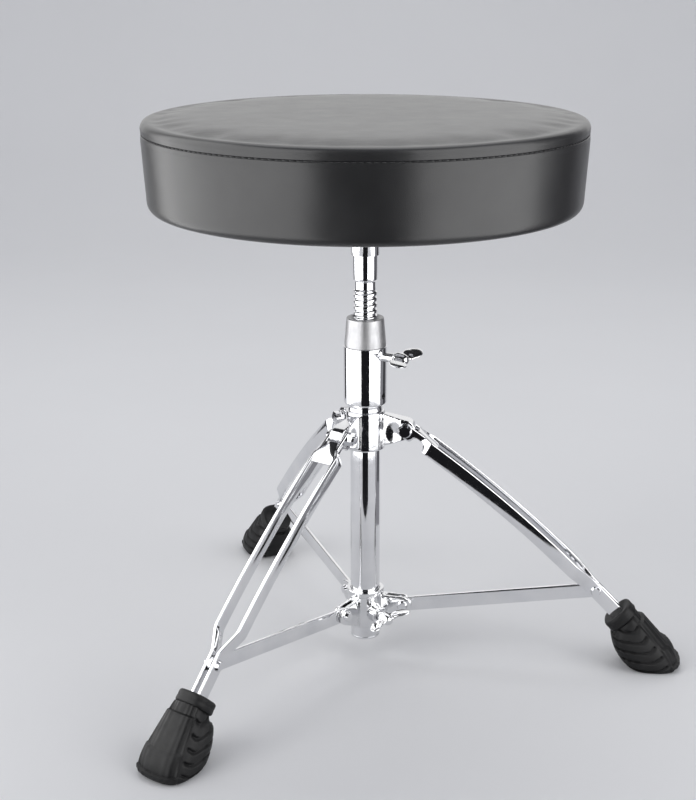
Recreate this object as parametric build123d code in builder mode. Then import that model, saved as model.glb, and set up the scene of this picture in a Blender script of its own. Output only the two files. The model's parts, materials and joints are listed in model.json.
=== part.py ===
from build123d import *
from math import atan2, cos, degrees, radians, sin
import os

# A three-legged drum throne with a round padded seat on a screw spindle.
# Millimetres, +Z up. The origin is on the column axis, at the level of the foot soles.
# Every piece is one named solid, or one named group of identical fasteners.

os.makedirs("parts", exist_ok=True)

# ---- Stance and linkage: points are (distance from the column axis, height) ----
LEG_AZIMUTHS = (-6.0, 114.0, 234.0)
LEG_PIVOT = (34.5, 209.5)
STAY_RIVET = (200.8, 68.0)
HUB_PIVOT = (33.0, 46.5)
TUCK = 0.05  # gap round a piece held fast in another
RUNNING = 0.08  # radial gap of a pin or thread that turns
GAP = 0.3  # gap between faces that pass each other

# ---- Column ----
TUBE_OD = 25.4
TUBE_WALL = 1.5
TUBE_BOTTOM = 18.0
SLEEVE_OD = 36.8
SLEEVE_BOTTOM = 231.7
SLEEVE_TOP = 281.8
SLEEVE_ROUND = 2.0
NUT_TOP = 306.0
NUT_TOP_OD = 31.4
NUT_BOTTOM_OD = 35.4
NUT_SPIGOT_OD = 30.0
NUT_SPIGOT = 3.0
NUT_COUNTERSINK = 2.2
RING_OD = 30.0
RING_BOTTOM = 225.5
END_CAP_RIM = 2.0
END_CAP_SPIGOT = 14.0
SET_SCREW_AZIMUTH = -33.0
SET_SCREW_HEIGHT = 240.0
SET_SCREW_D = 5.0
SET_SCREW_LENGTH = 4.0

# ---- Leg bracket ----
BRACKET_OD = 33.0
BRACKET_BOTTOM = 191.5
TONGUE_WIDTH = 12.8
TONGUE_EYE_R = 8.5
PIVOT_D = 6.0

# ---- Legs ----
RAIL_DEPTH = 12.0
RAIL_THICKNESS = 2.5
RAIL_BOW = 5.6  # height of the rail's arc over its chord
RAIL_TAIL = 56.0  # straight end, from the stay rivet
NECK_SPAN = (9.0, 21.0)  # where the neck is relieved, from the pivot along the rail
NECK_DEPTH = 5.5  # what is left of the rail's depth there
NECK_ROUND = 3.0
BRIDGE_SPAN = (9.5, 31.0)  # the stamped bridge that closes the top of the neck
BRIDGE_THICKNESS = 2.2
BRIDGE_DROP = 0.3  # below the rails' top edges
RAIL_AT_HUB = 7.95  # distance of a rail's middle from the leg's own plane
RAIL_APART = 11.5
RAIL_AT_TAIL = 3.3
JOGGLE_R = (49.0, 54.0)  # where the rails part
PINCH_R = (181.0, 194.5)  # where the rails come together
SPACER_START = 26.0  # from the stay rivet, along the tail
RIVET_D = 5.0
RIVET_HEAD_D = 9.0
RIVET_HEAD = 2.6

# ---- Stays and their hub ----
STAY_DEPTH = 13.0
STAY_THICKNESS = 3.0
HUB_OD = 30.0
HUB_FLANGE_OD = 33.0
HUB_BOTTOM = 28.0
HUB_TOP = 62.0
HUB_FLANGE = 5.0
EAR_THICKNESS = 3.2
EAR_EYE_R = 8.0

# ---- Feet ----
COLLAR_POINT = 27.0  # where the boot's collar starts, from the stay rivet along the tail
COLLAR_SIZE = 28.0
COLLAR_LENGTH = 10.0
COLLAR_ROUND = 7.0
SOLE_MIDDLE = 253.0
# boot sections below the collar: (distance from the axis, height, radial size, width, corner)
BOOT_SECTIONS = (
    (SOLE_MIDDLE, 0.0, 38.0, 38.0, 13.0),
    (SOLE_MIDDLE - 2.0, 5.0, 49.0, 46.0, 15.0),
    (SOLE_MIDDLE - 8.5, 16.0, 51.0, 44.0, 14.0),
    (SOLE_MIDDLE - 16.0, 28.0, 43.0, 38.0, 12.0),
)

# ---- Screw spindle ----
SPINDLE_D = 20.0
SPINDLE_PLAIN_D = 20.6
SPINDLE_BOTTOM = 166.0
THREAD_TOP = 331.0
THREAD_PITCH = 5.0
THREAD_DEPTH = 1.3
RELIEF_TOP = 339.0
SPINDLE_TOP = 396.0
GUIDE_D = 22.2
GUIDE_HEIGHT = 12.0
GUIDE_SHANK_D = 12.0
GUIDE_SCREW_D = 6.0

# ---- Seat ----
SEAT_R = 180.0
SEAT_BOTTOM_R = 176.5
SEAT_BOTTOM = 399.6
SEAT_TOP = 471.4
SEAT_EDGE = 8.0
SEAM_DROP = 10.0
COVER = 1.2
HEM_INNER_R = 148.0
BOARD_R = 172.0
BOARD_THICKNESS = 12.0
BRACKET_PLATE = 112.0
PLATE_THICKNESS = 3.0
PLATE_ROUND = 16.0
SOCKET_OD = 24.0
SOCKET_BOTTOM = 359.5
SOCKET_PIN_D = 5.0
SOCKET_PIN_HEIGHT = 368.0
SOCKET_PIN_AZIMUTH = 45.0
GUSSET_REACH = 46.0
GUSSET_THICKNESS = 3.0
SEAT_BOLT_SPACING = 84.0
SEAT_BOLT_D = 6.0
SEAT_BOLT_HEAD_D = 11.5
SEAT_BOLT_HEAD = 4.2
TEE_BARREL_D = 8.0
TEE_FLANGE_D = 19.0
TEE_FLANGE = 1.4
STAPLES = 24
STAPLE_RING_R = 161.0
STAPLE = (10.0, 1.2, 0.6)  # crown length, wire width, wire height
STAPLE_LEG = 6.0

# ---- Wing bolts ----
BOLT_D = 8.0
PAD_D = 6.0
PAD_GAP = 0.1
WING_THICKNESS = 3.6
WING_HUB_D = 11.0
WING_SPAN = 19.0
WING_SWEEP = 7.0
WING_ROOT_R = 4.0
WING_TIP_R = 4.5
COLUMN_WING = {"azimuth": -30.0, "height": 274.0, "roll": 83.0, "reach": 30.0}
HUB_WING = {"azimuth": -55.0, "height": 42.0, "roll": 78.0, "reach": 27.0}
HUB_BOSS_D = 15.0
HUB_BOSS_R = 22.5


def radial(azimuth):
    """Unit vector that points away from the column at an azimuth."""
    return Vector(cos(radians(azimuth)), sin(radians(azimuth)), 0)


def side_plane(azimuth):
    """Upright plane through the column: local x runs outwards, local y up."""
    return Plane(origin=(0, 0, 0), x_dir=radial(azimuth), z_dir=radial(azimuth - 90))


def plan_plane(azimuth, height=0.0):
    """Level plane: local x runs outwards at the azimuth."""
    return Plane(origin=(0, 0, height), x_dir=radial(azimuth), z_dir=(0, 0, 1))


def bore_plane(azimuth, height):
    """Upright plane across a radial line: local z runs outwards along that line."""
    return Plane(origin=(0, 0, height), x_dir=radial(azimuth + 90), z_dir=radial(azimuth))


def cross_plane(azimuth, point, start=0.0):
    """The side plane moved to a pivot, and along the pivot's own axis by start."""
    origin = side_plane(azimuth).from_local_coords(Vector(point[0], point[1], start))
    return Plane(origin=origin, x_dir=radial(azimuth), z_dir=radial(azimuth - 90))


def along(start, end, distance):
    """The point at a distance from start on the line to end."""
    step = Vector(*end) - Vector(*start)
    point = Vector(*start) + step.normalized() * distance
    return (point.X, point.Y)


def tail_direction():
    """Unit direction of the leg's straight end, in the leg's own plane."""
    with BuildLine() as bow:
        SagittaArc(LEG_PIVOT, STAY_RIVET, RAIL_BOW)
    return bow.edges()[0] % 1


TAIL = tail_direction()


def tail_point(distance):
    """The point on the leg's straight end at a distance from the stay rivet."""
    return (STAY_RIVET[0] + TAIL.X * distance, STAY_RIVET[1] + TAIL.Y * distance)


def tail_plane(azimuth, distance):
    """Plane across the leg's tail: local x across its depth, local z down the tail."""
    frame = side_plane(azimuth)
    origin = frame.from_local_coords(Vector(*tail_point(distance)))
    down = frame.from_local_coords(TAIL)
    return Plane(origin=origin, x_dir=down.cross(frame.z_dir), z_dir=down)


def save(piece, name):
    """Label a finished piece and write it to its own file."""
    piece.part.label = name
    export_step(piece.part, f"parts/{name}.step")


def disc_ring(outer_d, inner_d, bottom, top):
    """A plain ring about the column axis, added to the part being built."""
    with BuildSketch(Plane.XY.offset(bottom)) as ring:
        Circle(outer_d / 2)
        if inner_d:
            Circle(inner_d / 2, mode=Mode.SUBTRACT)
    extrude(ring.sketch, amount=top - bottom)


def radial_hole(azimuth, height, diameter, start, end):
    """A round hole cut outwards along an azimuth, between two distances from the axis."""
    with BuildSketch(bore_plane(azimuth, height).offset(start)) as hole:
        Circle(diameter / 2)
    extrude(hole.sketch, amount=end - start, mode=Mode.SUBTRACT)


# ---------------------------------------------------------------- column
TUBE_BORE = TUBE_OD - 2 * TUBE_WALL
TUBE_TOP = SLEEVE_TOP - NUT_SPIGOT
FIT_BORE = TUBE_OD + 2 * TUCK


def make_base_tube():
    with BuildPart() as base_tube:
        disc_ring(TUBE_OD, TUBE_BORE, TUBE_BOTTOM, TUBE_TOP)
        radial_hole(
            COLUMN_WING["azimuth"], COLUMN_WING["height"], PAD_D + 2 * GAP, 0, TUBE_OD
        )
    save(base_tube, "base_tube")


def make_tube_end_cap():
    with BuildPart() as cap:
        disc_ring(TUBE_OD, 0, TUBE_BOTTOM - END_CAP_RIM, TUBE_BOTTOM)
        fillet(cap.faces().sort_by(Axis.Z)[0].edges(), END_CAP_RIM * 0.8)
        disc_ring(TUBE_BORE - 2 * TUCK, 0, TUBE_BOTTOM, TUBE_BOTTOM + END_CAP_SPIGOT)
    save(cap, "tube_end_cap")


def make_upper_sleeve():
    with BuildPart() as sleeve:
        disc_ring(SLEEVE_OD, FIT_BORE, SLEEVE_BOTTOM, SLEEVE_TOP)
        fillet(
            sleeve.faces().sort_by(Axis.Z)[0].edges().sort_by(SortBy.RADIUS)[-1], SLEEVE_ROUND
        )
        with BuildSketch(Plane.XY.offset(SLEEVE_TOP - NUT_SPIGOT)):
            Circle(NUT_SPIGOT_OD / 2 + TUCK)
        extrude(amount=NUT_SPIGOT, mode=Mode.SUBTRACT)
        radial_hole(
            COLUMN_WING["azimuth"], COLUMN_WING["height"], BOLT_D + 2 * RUNNING, 0, SLEEVE_OD
        )
        radial_hole(
            SET_SCREW_AZIMUTH, SET_SCREW_HEIGHT, SET_SCREW_D + 2 * TUCK, 0, SLEEVE_OD
        )
    save(sleeve, "upper_sleeve")


def make_sleeve_set_screw():
    start = TUBE_OD / 2 + TUCK
    with BuildPart() as screw:
        with BuildSketch(bore_plane(SET_SCREW_AZIMUTH, SET_SCREW_HEIGHT).offset(start)):
            Circle(SET_SCREW_D / 2)
        extrude(amount=SET_SCREW_LENGTH)
        with BuildSketch(
            bore_plane(SET_SCREW_AZIMUTH, SET_SCREW_HEIGHT).offset(start + SET_SCREW_LENGTH)
        ):
            RegularPolygon(SET_SCREW_D / 4, 6)
        extrude(amount=-SET_SCREW_LENGTH / 2, mode=Mode.SUBTRACT)
    save(screw, "sleeve_set_screw")


def make_spindle_nut():
    bore_r = SPINDLE_D / 2 + RUNNING
    with BuildPart() as nut:
        with BuildSketch(Plane.XZ):
            with BuildLine():
                Polyline(
                    (bore_r, SLEEVE_TOP - NUT_SPIGOT),
                    (NUT_SPIGOT_OD / 2, SLEEVE_TOP - NUT_SPIGOT),
                    (NUT_SPIGOT_OD / 2, SLEEVE_TOP),
                    (NUT_BOTTOM_OD / 2, SLEEVE_TOP),
                    (NUT_TOP_OD / 2, NUT_TOP),
                    (bore_r + NUT_COUNTERSINK, NUT_TOP),
                    (bore_r, NUT_TOP - NUT_COUNTERSINK),
                    close=True,
                )
            make_face()
        revolve(axis=Axis.Z)
    save(nut, "spindle_nut")


def make_neck_ring():
    with BuildPart() as ring:
        disc_ring(RING_OD, FIT_BORE, RING_BOTTOM, SLEEVE_BOTTOM)
    save(ring, "neck_ring")


def make_leg_bracket():
    web = (BRACKET_OD - 6) / 2
    with BuildPart() as bracket:
        for azimuth in LEG_AZIMUTHS:
            with BuildSketch(side_plane(azimuth)):
                with Locations(LEG_PIVOT):
                    Circle(TONGUE_EYE_R)
                with Locations((web, (BRACKET_BOTTOM + RING_BOTTOM) / 2)):
                    Rectangle(1, RING_BOTTOM - BRACKET_BOTTOM - 4)
                make_hull()
            extrude(amount=TONGUE_WIDTH / 2, both=True)
        disc_ring(BRACKET_OD, 0, BRACKET_BOTTOM, RING_BOTTOM)
        with BuildSketch(Plane.XY.offset(BRACKET_BOTTOM)):
            Circle(FIT_BORE / 2)
        extrude(amount=RING_BOTTOM - BRACKET_BOTTOM, mode=Mode.SUBTRACT)
        for azimuth in LEG_AZIMUTHS:
            with BuildSketch(cross_plane(azimuth, LEG_PIVOT)):
                Circle(PIVOT_D / 2 + RUNNING)
            extrude(amount=BRACKET_OD, both=True, mode=Mode.SUBTRACT)
    save(bracket, "leg_bracket")


# ---------------------------------------------------------------- legs
def rail_slope():
    """Slope in degrees of the line from the leg's pivot to its stay rivet."""
    return degrees(atan2(STAY_RIVET[1] - LEG_PIVOT[1], STAY_RIVET[0] - LEG_PIVOT[0]))


def neck_point(distance, rise):
    """A point by the neck: a distance from the pivot along the rail's middle, and a rise above it."""
    length = (Vector(*STAY_RIVET) - Vector(*LEG_PIVOT)).length
    bow = RAIL_BOW * (1 - (1 - 2 * distance / length) ** 2)
    shift = Vector(0, bow + rise).rotate(Axis.Z, rail_slope())
    point = along(LEG_PIVOT, STAY_RIVET, distance)
    return (point[0] + shift.X, point[1] + shift.Y)


def rail_outline(azimuth):
    """The rail seen from the side: a long bow, its straight tail and a relieved neck."""
    with BuildSketch(side_plane(azimuth)) as outline:
        with BuildLine():
            SagittaArc(LEG_PIVOT, STAY_RIVET, RAIL_BOW)
            Line(STAY_RIVET, tail_point(RAIL_TAIL - RAIL_DEPTH / 2))
            offset(amount=RAIL_DEPTH / 2)
        make_face()
        middle = neck_point(sum(NECK_SPAN) / 2, RAIL_DEPTH / 2 - NECK_DEPTH - RAIL_DEPTH / 2)
        with Locations(Location(middle, rail_slope())):
            RectangleRounded(
                NECK_SPAN[1] - NECK_SPAN[0], RAIL_DEPTH, NECK_ROUND, mode=Mode.SUBTRACT
            )
    return outline.sketch


def rail_plan(side):
    """Half of the rail's width seen from above: apart in the middle, pinched at the tail."""
    ends = (LEG_PIVOT[0] - RAIL_DEPTH, tail_point(RAIL_TAIL)[0] + RAIL_DEPTH)
    stations = (
        (ends[0], RAIL_AT_HUB),
        (JOGGLE_R[0], RAIL_AT_HUB),
        (JOGGLE_R[1], RAIL_APART),
        (PINCH_R[0], RAIL_APART),
        (PINCH_R[1], RAIL_AT_TAIL),
        (ends[1], RAIL_AT_TAIL),
    )
    half = RAIL_THICKNESS / 2
    inner = [(r, side * (offset_y - half)) for r, offset_y in stations]
    outer = [(r, side * (offset_y + half)) for r, offset_y in reversed(stations)]
    return inner + outer


def make_rail(azimuth, side, name):
    height = LEG_PIVOT[1] + RAIL_DEPTH
    with BuildPart() as rail:
        extrude(rail_outline(azimuth), amount=RAIL_APART + RAIL_THICKNESS, both=True)
        with BuildSketch(plan_plane(azimuth)):
            with BuildLine():
                Polyline(*rail_plan(side), close=True)
            make_face()
        extrude(amount=height, mode=Mode.INTERSECT)
        for point, diameter in (
            (LEG_PIVOT, PIVOT_D),
            (STAY_RIVET, RIVET_D),
            (tail_point(RAIL_TAIL - RAIL_DEPTH), RIVET_D),
        ):
            with BuildSketch(cross_plane(azimuth, point)):
                Circle(diameter / 2 + TUCK)
            extrude(amount=RAIL_APART * 2, both=True, mode=Mode.SUBTRACT)
    save(rail, name)


def make_leg_bridge(azimuth, name):
    rise = RAIL_DEPTH / 2 - BRIDGE_DROP - BRIDGE_THICKNESS / 2
    face = RAIL_THICKNESS / 2 + TUCK
    end = neck_point(BRIDGE_SPAN[1], rise)[0] + BRIDGE_THICKNESS
    half = ((0, RAIL_AT_HUB), (JOGGLE_R[0], RAIL_AT_HUB), (JOGGLE_R[1], RAIL_APART), (end, RAIL_APART))
    left = [(r, wide - face) for r, wide in half]
    right = [(r, face - wide) for r, wide in reversed(half)]
    with BuildPart() as bridge:
        with BuildSketch(side_plane(azimuth)):
            with Locations(Location(neck_point(sum(BRIDGE_SPAN) / 2, rise), rail_slope())):
                Rectangle(BRIDGE_SPAN[1] - BRIDGE_SPAN[0], BRIDGE_THICKNESS)
        extrude(amount=RAIL_APART, both=True)
        with BuildSketch(plan_plane(azimuth)):
            with BuildLine():
                Polyline(*left, *right, close=True)
            make_face()
        extrude(amount=LEG_PIVOT[1] + RAIL_DEPTH, mode=Mode.INTERSECT)
    save(bridge, name)


def make_leg_spacer(azimuth, name):
    length = RAIL_TAIL - SPACER_START
    gap = 2 * RAIL_AT_TAIL - RAIL_THICKNESS
    with BuildPart() as spacer:
        with BuildSketch(tail_plane(azimuth, SPACER_START)):
            Rectangle(RAIL_DEPTH - 2, gap)
        extrude(amount=length - 1)
        with BuildSketch(cross_plane(azimuth, tail_point(RAIL_TAIL - RAIL_DEPTH))):
            Circle(RIVET_D / 2 + TUCK)
        extrude(amount=RAIL_DEPTH, both=True, mode=Mode.SUBTRACT)
    save(spacer, name)


def round_head(azimuth, point, start, direction):
    """A low domed rivet or bolt head that stands on a face start away from the leg's plane."""
    with BuildSketch(cross_plane(azimuth, point, direction * start)) as head:
        Circle(RIVET_HEAD_D / 2)
    extrude(head.sketch, amount=direction * RIVET_HEAD, taper=24)


def make_leg_rivets(azimuth, name):
    outer = RAIL_AT_TAIL + RAIL_THICKNESS / 2
    inner = RAIL_AT_TAIL - RAIL_THICKNESS / 2
    with BuildPart() as rivets:
        for direction in (1, -1):
            with BuildSketch(cross_plane(azimuth, STAY_RIVET, direction * inner)):
                Circle(RIVET_D / 2)
            extrude(amount=direction * RAIL_THICKNESS)
            round_head(azimuth, STAY_RIVET, outer, direction)
        with BuildSketch(cross_plane(azimuth, tail_point(RAIL_TAIL - RAIL_DEPTH))):
            Circle(RIVET_D / 2)
        extrude(amount=outer, both=True)
    save(rivets, name)


def make_pivot_bolt(azimuth, name):
    outer = RAIL_AT_HUB + RAIL_THICKNESS / 2
    with BuildPart() as bolt:
        with BuildSketch(cross_plane(azimuth, LEG_PIVOT, -outer - PIVOT_D)):
            Circle(PIVOT_D / 2)
        extrude(amount=2 * outer + PIVOT_D)
        with BuildSketch(cross_plane(azimuth, LEG_PIVOT, outer)):
            Circle(PIVOT_D)
        extrude(amount=PIVOT_D / 2, taper=24)
    save(bolt, name)


def make_pivot_nut(azimuth, name):
    outer = RAIL_AT_HUB + RAIL_THICKNESS / 2
    with BuildPart() as nut:
        with BuildSketch(cross_plane(azimuth, LEG_PIVOT, -outer)):
            RegularPolygon(PIVOT_D * 0.95, 6)
            Circle(PIVOT_D / 2 + TUCK, mode=Mode.SUBTRACT)
        extrude(amount=-PIVOT_D * 0.8)
    save(nut, name)


def make_boot(azimuth, name):
    socket = (RAIL_DEPTH + 2 * TUCK, 2 * RAIL_AT_TAIL + RAIL_THICKNESS + 2 * TUCK)
    neck = tail_plane(azimuth, COLLAR_POINT + COLLAR_LENGTH)
    with BuildPart() as boot:
        for distance, height, length, width, corner in BOOT_SECTIONS:
            level = plan_plane(azimuth, height)
            origin = level.from_local_coords(Vector(distance, 0, 0))
            with BuildSketch(Plane(origin=origin, x_dir=level.x_dir, z_dir=level.z_dir)):
                RectangleRounded(length, width, corner)
        with BuildSketch(neck):
            RectangleRounded(COLLAR_SIZE - 4, COLLAR_SIZE - 3, COLLAR_ROUND)
        loft(ruled=True)
        with BuildSketch(tail_plane(azimuth, COLLAR_POINT)):
            RectangleRounded(COLLAR_SIZE, COLLAR_SIZE, COLLAR_ROUND)
        extrude(amount=COLLAR_LENGTH)
        with BuildSketch(tail_plane(azimuth, COLLAR_POINT)):
            Rectangle(*socket)
        extrude(amount=RAIL_TAIL - COLLAR_POINT + TUCK, mode=Mode.SUBTRACT)
    save(boot, name)


def make_legs():
    for number, azimuth in enumerate(LEG_AZIMUTHS, start=1):
        make_rail(azimuth, 1, f"leg_{number}_rail_left")
        make_rail(azimuth, -1, f"leg_{number}_rail_right")
        make_leg_bridge(azimuth, f"leg_{number}_bridge")
        make_leg_spacer(azimuth, f"leg_{number}_spacer")
        make_leg_rivets(azimuth, f"leg_{number}_rivets")
        make_pivot_bolt(azimuth, f"leg_{number}_pivot_bolt")
        make_pivot_nut(azimuth, f"leg_{number}_pivot_nut")
        make_boot(azimuth, f"leg_{number}_boot")


# ---------------------------------------------------------------- stays and hub
EAR_INNER = STAY_THICKNESS / 2 + GAP
EAR_OUTER = EAR_INNER + EAR_THICKNESS


def make_stay_hub():
    middle = (HUB_BOTTOM + HUB_TOP - HUB_FLANGE) / 2
    web = (HUB_OD - 5) / 2
    with BuildPart() as hub:
        for azimuth in LEG_AZIMUTHS:
            with BuildSketch(side_plane(azimuth)):
                with Locations(HUB_PIVOT):
                    Circle(EAR_EYE_R)
                with Locations((web, middle)):
                    Rectangle(1, HUB_TOP - HUB_FLANGE - HUB_BOTTOM - 2)
                make_hull()
            extrude(amount=EAR_OUTER, both=True)
        for azimuth in LEG_AZIMUTHS:
            with BuildSketch(cross_plane(azimuth, HUB_PIVOT)):
                with Locations((EAR_EYE_R, 0)):
                    Rectangle(2 * (EAR_EYE_R + STAY_DEPTH / 2 + GAP + EAR_EYE_R), 2 * HUB_TOP)
            extrude(amount=EAR_INNER, both=True, mode=Mode.SUBTRACT)
        disc_ring(HUB_OD, 0, HUB_BOTTOM, HUB_TOP)
        disc_ring(HUB_FLANGE_OD, 0, HUB_TOP - HUB_FLANGE, HUB_TOP)
        with BuildSketch(bore_plane(HUB_WING["azimuth"], HUB_WING["height"])):
            Circle(HUB_BOSS_D / 2)
        extrude(amount=HUB_BOSS_R)
        with BuildSketch(Plane.XY.offset(HUB_BOTTOM - HUB_BOSS_D)):
            Circle(TUBE_OD / 2 + RUNNING)
        extrude(amount=HUB_TOP - HUB_BOTTOM + HUB_BOSS_D, mode=Mode.SUBTRACT)
        radial_hole(
            HUB_WING["azimuth"], HUB_WING["height"], BOLT_D + 2 * RUNNING, 0, HUB_OD
        )
        for azimuth in LEG_AZIMUTHS:
            with BuildSketch(cross_plane(azimuth, HUB_PIVOT)):
                Circle(RIVET_D / 2 + TUCK)
            extrude(amount=EAR_OUTER, both=True, mode=Mode.SUBTRACT)
    save(hub, "stay_hub")


def make_stay(azimuth, name):
    with BuildPart() as stay:
        with BuildSketch(side_plane(azimuth)):
            with BuildLine():
                Line(HUB_PIVOT, STAY_RIVET)
                offset(amount=STAY_DEPTH / 2)
            make_face()
        extrude(amount=STAY_THICKNESS / 2, both=True)
        for point, clearance in ((HUB_PIVOT, RUNNING), (STAY_RIVET, GAP)):
            with BuildSketch(cross_plane(azimuth, point)):
                Circle(RIVET_D / 2 + clearance)
            extrude(amount=STAY_THICKNESS, both=True, mode=Mode.SUBTRACT)
    save(stay, name)


def make_hub_rivets():
    with BuildPart() as rivets:
        for azimuth in LEG_AZIMUTHS:
            with BuildSketch(cross_plane(azimuth, HUB_PIVOT)):
                Circle(RIVET_D / 2)
            extrude(amount=EAR_OUTER, both=True)
            for direction in (1, -1):
                round_head(azimuth, HUB_PIVOT, EAR_OUTER, direction)
    save(rivets, "hub_rivets")


def make_stays():
    for number, azimuth in enumerate(LEG_AZIMUTHS, start=1):
        make_stay(azimuth, f"stay_{number}")


# ---------------------------------------------------------------- wing bolts
def wing_plane(wing):
    """Plane through a wing bolt's axis and both wings: local x runs along the bolt."""
    axis = radial(wing["azimuth"])
    spread = Vector(0, 0, 1).rotate(Axis((0, 0, 0), axis), -wing["roll"])
    return Plane(origin=(0, 0, wing["height"]), x_dir=axis, z_dir=axis.cross(spread))


def make_wing_bolt(wing, start, name):
    reach = wing["reach"]
    with BuildPart() as bolt:
        with BuildSketch(bore_plane(wing["azimuth"], wing["height"]).offset(start)):
            Circle(BOLT_D / 2)
        extrude(amount=reach - start + 1)
        with BuildSketch(bore_plane(wing["azimuth"], wing["height"]).offset(reach)):
            Circle(WING_HUB_D / 2)
        extrude(amount=WING_HUB_D, taper=8)
        for direction in (1, -1):
            with BuildSketch(wing_plane(wing)):
                with Locations((reach + WING_ROOT_R, 0)):
                    Circle(WING_ROOT_R)
                with Locations((reach + WING_SWEEP + WING_ROOT_R, direction * WING_SPAN / 2)):
                    Circle(WING_ROOT_R)
                make_hull()
            extrude(amount=WING_THICKNESS / 2, both=True)
            with BuildSketch(wing_plane(wing)):
                with Locations((reach + WING_SWEEP + WING_ROOT_R, direction * WING_SPAN / 2)):
                    Circle(WING_ROOT_R)
                tip = (reach + WING_SWEEP + WING_TIP_R + 2, direction * (WING_SPAN - WING_TIP_R / 2))
                with Locations(tip):
                    Circle(WING_TIP_R)
                make_hull()
            extrude(amount=WING_THICKNESS / 2, both=True)
    save(bolt, name)


def make_lock_pad(wing, start, end, name):
    with BuildPart() as pad:
        with BuildSketch(bore_plane(wing["azimuth"], wing["height"]).offset(start)):
            Circle(PAD_D / 2)
        extrude(amount=end - start)
    save(pad, name)


def make_wing_bolts():
    column_pad = (SPINDLE_D / 2 + PAD_GAP + PAD_GAP, TUBE_OD / 2 + PAD_GAP)
    make_lock_pad(COLUMN_WING, *column_pad, "lock_pad")
    make_wing_bolt(COLUMN_WING, column_pad[1] + PAD_GAP, "wing_bolt")
    hub_pad = (TUBE_OD / 2 + PAD_GAP, HUB_OD / 2 + 1)
    make_lock_pad(HUB_WING, *hub_pad, "hub_lock_pad")
    make_wing_bolt(HUB_WING, hub_pad[1] + PAD_GAP, "hub_wing_bolt")


# ---------------------------------------------------------------- spindle
GUIDE_BOTTOM = SPINDLE_BOTTOM - GUIDE_HEIGHT - 2 * GAP


def thread_profile():
    """Half section of the thread: flat crests, flat roots and sloped flanks."""
    crest = SPINDLE_D / 2
    root = crest - THREAD_DEPTH
    turns = int((THREAD_TOP - SPINDLE_BOTTOM) / THREAD_PITCH)
    points = []
    for turn in range(turns):
        base = SPINDLE_BOTTOM + turn * THREAD_PITCH
        points += [
            (crest, base),
            (crest, base + THREAD_PITCH * 0.4),
            (root, base + THREAD_PITCH * 0.6),
            (root, base + THREAD_PITCH * 0.8),
        ]
    return points


def make_spindle():
    neck_r = SPINDLE_D / 2 - THREAD_DEPTH
    plain_r = SPINDLE_PLAIN_D / 2
    with BuildPart() as spindle:
        with BuildSketch(Plane.XZ):
            with BuildLine():
                Polyline(
                    (0, GUIDE_BOTTOM),
                    (GUIDE_SHANK_D / 2, GUIDE_BOTTOM),
                    (GUIDE_SHANK_D / 2, SPINDLE_BOTTOM),
                    *thread_profile(),
                    (neck_r, THREAD_TOP),
                    (neck_r, RELIEF_TOP - plain_r + neck_r),
                    (plain_r, RELIEF_TOP),
                    (plain_r, SPINDLE_TOP - 1),
                    (plain_r - 1, SPINDLE_TOP),
                    (0, SPINDLE_TOP),
                    close=True,
                )
            make_face()
        revolve(axis=Axis.Z)
        with BuildSketch(Plane.XY.offset(GUIDE_BOTTOM)):
            Circle(GUIDE_SCREW_D / 2 + TUCK)
        extrude(amount=2 * GUIDE_HEIGHT, mode=Mode.SUBTRACT)
        with BuildSketch(bore_plane(SOCKET_PIN_AZIMUTH, SOCKET_PIN_HEIGHT)):
            Circle(SOCKET_PIN_D / 2 + TUCK)
        extrude(amount=SPINDLE_D, both=True, mode=Mode.SUBTRACT)
    save(spindle, "spindle")


def make_spindle_guide():
    with BuildPart() as guide:
        disc_ring(
            GUIDE_D, GUIDE_SHANK_D + 2 * RUNNING, GUIDE_BOTTOM + GAP, SPINDLE_BOTTOM - GAP
        )
        chamfer(guide.faces().sort_by(Axis.Z)[0].edges().sort_by(SortBy.RADIUS)[-1], 1)
    save(guide, "spindle_guide")


def make_guide_screw():
    washer = 1.6
    head = 4.0
    with BuildPart() as screw:
        disc_ring(GUIDE_SCREW_D, 0, GUIDE_BOTTOM - washer, GUIDE_BOTTOM + GUIDE_HEIGHT)
        disc_ring(SPINDLE_D - 2, 0, GUIDE_BOTTOM - washer, GUIDE_BOTTOM)
        disc_ring(GUIDE_SCREW_D * 1.7, 0, GUIDE_BOTTOM - washer - head, GUIDE_BOTTOM - washer)
    save(screw, "guide_screw")


# ---------------------------------------------------------------- seat
HEM_TOP = SEAT_BOTTOM + COVER
BOARD_BOTTOM = HEM_TOP
BOARD_TOP = BOARD_BOTTOM + BOARD_THICKNESS
PLATE_TOP = SEAT_BOTTOM
PLATE_BOTTOM = PLATE_TOP - PLATE_THICKNESS
SEAM_HEIGHT = SEAT_TOP - SEAM_DROP


def side_radius(height):
    """Radius of the seat's side, which leans in a little towards the bottom."""
    share = (height - SEAT_BOTTOM) / (SEAT_TOP - SEAT_EDGE - SEAT_BOTTOM)
    return SEAT_BOTTOM_R + min(share, 1) * (SEAT_R - SEAT_BOTTOM_R)


def seat_bolts():
    """Places of the four bolts that hold the bracket to the board."""
    return GridLocations(SEAT_BOLT_SPACING, SEAT_BOLT_SPACING, 2, 2)


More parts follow.
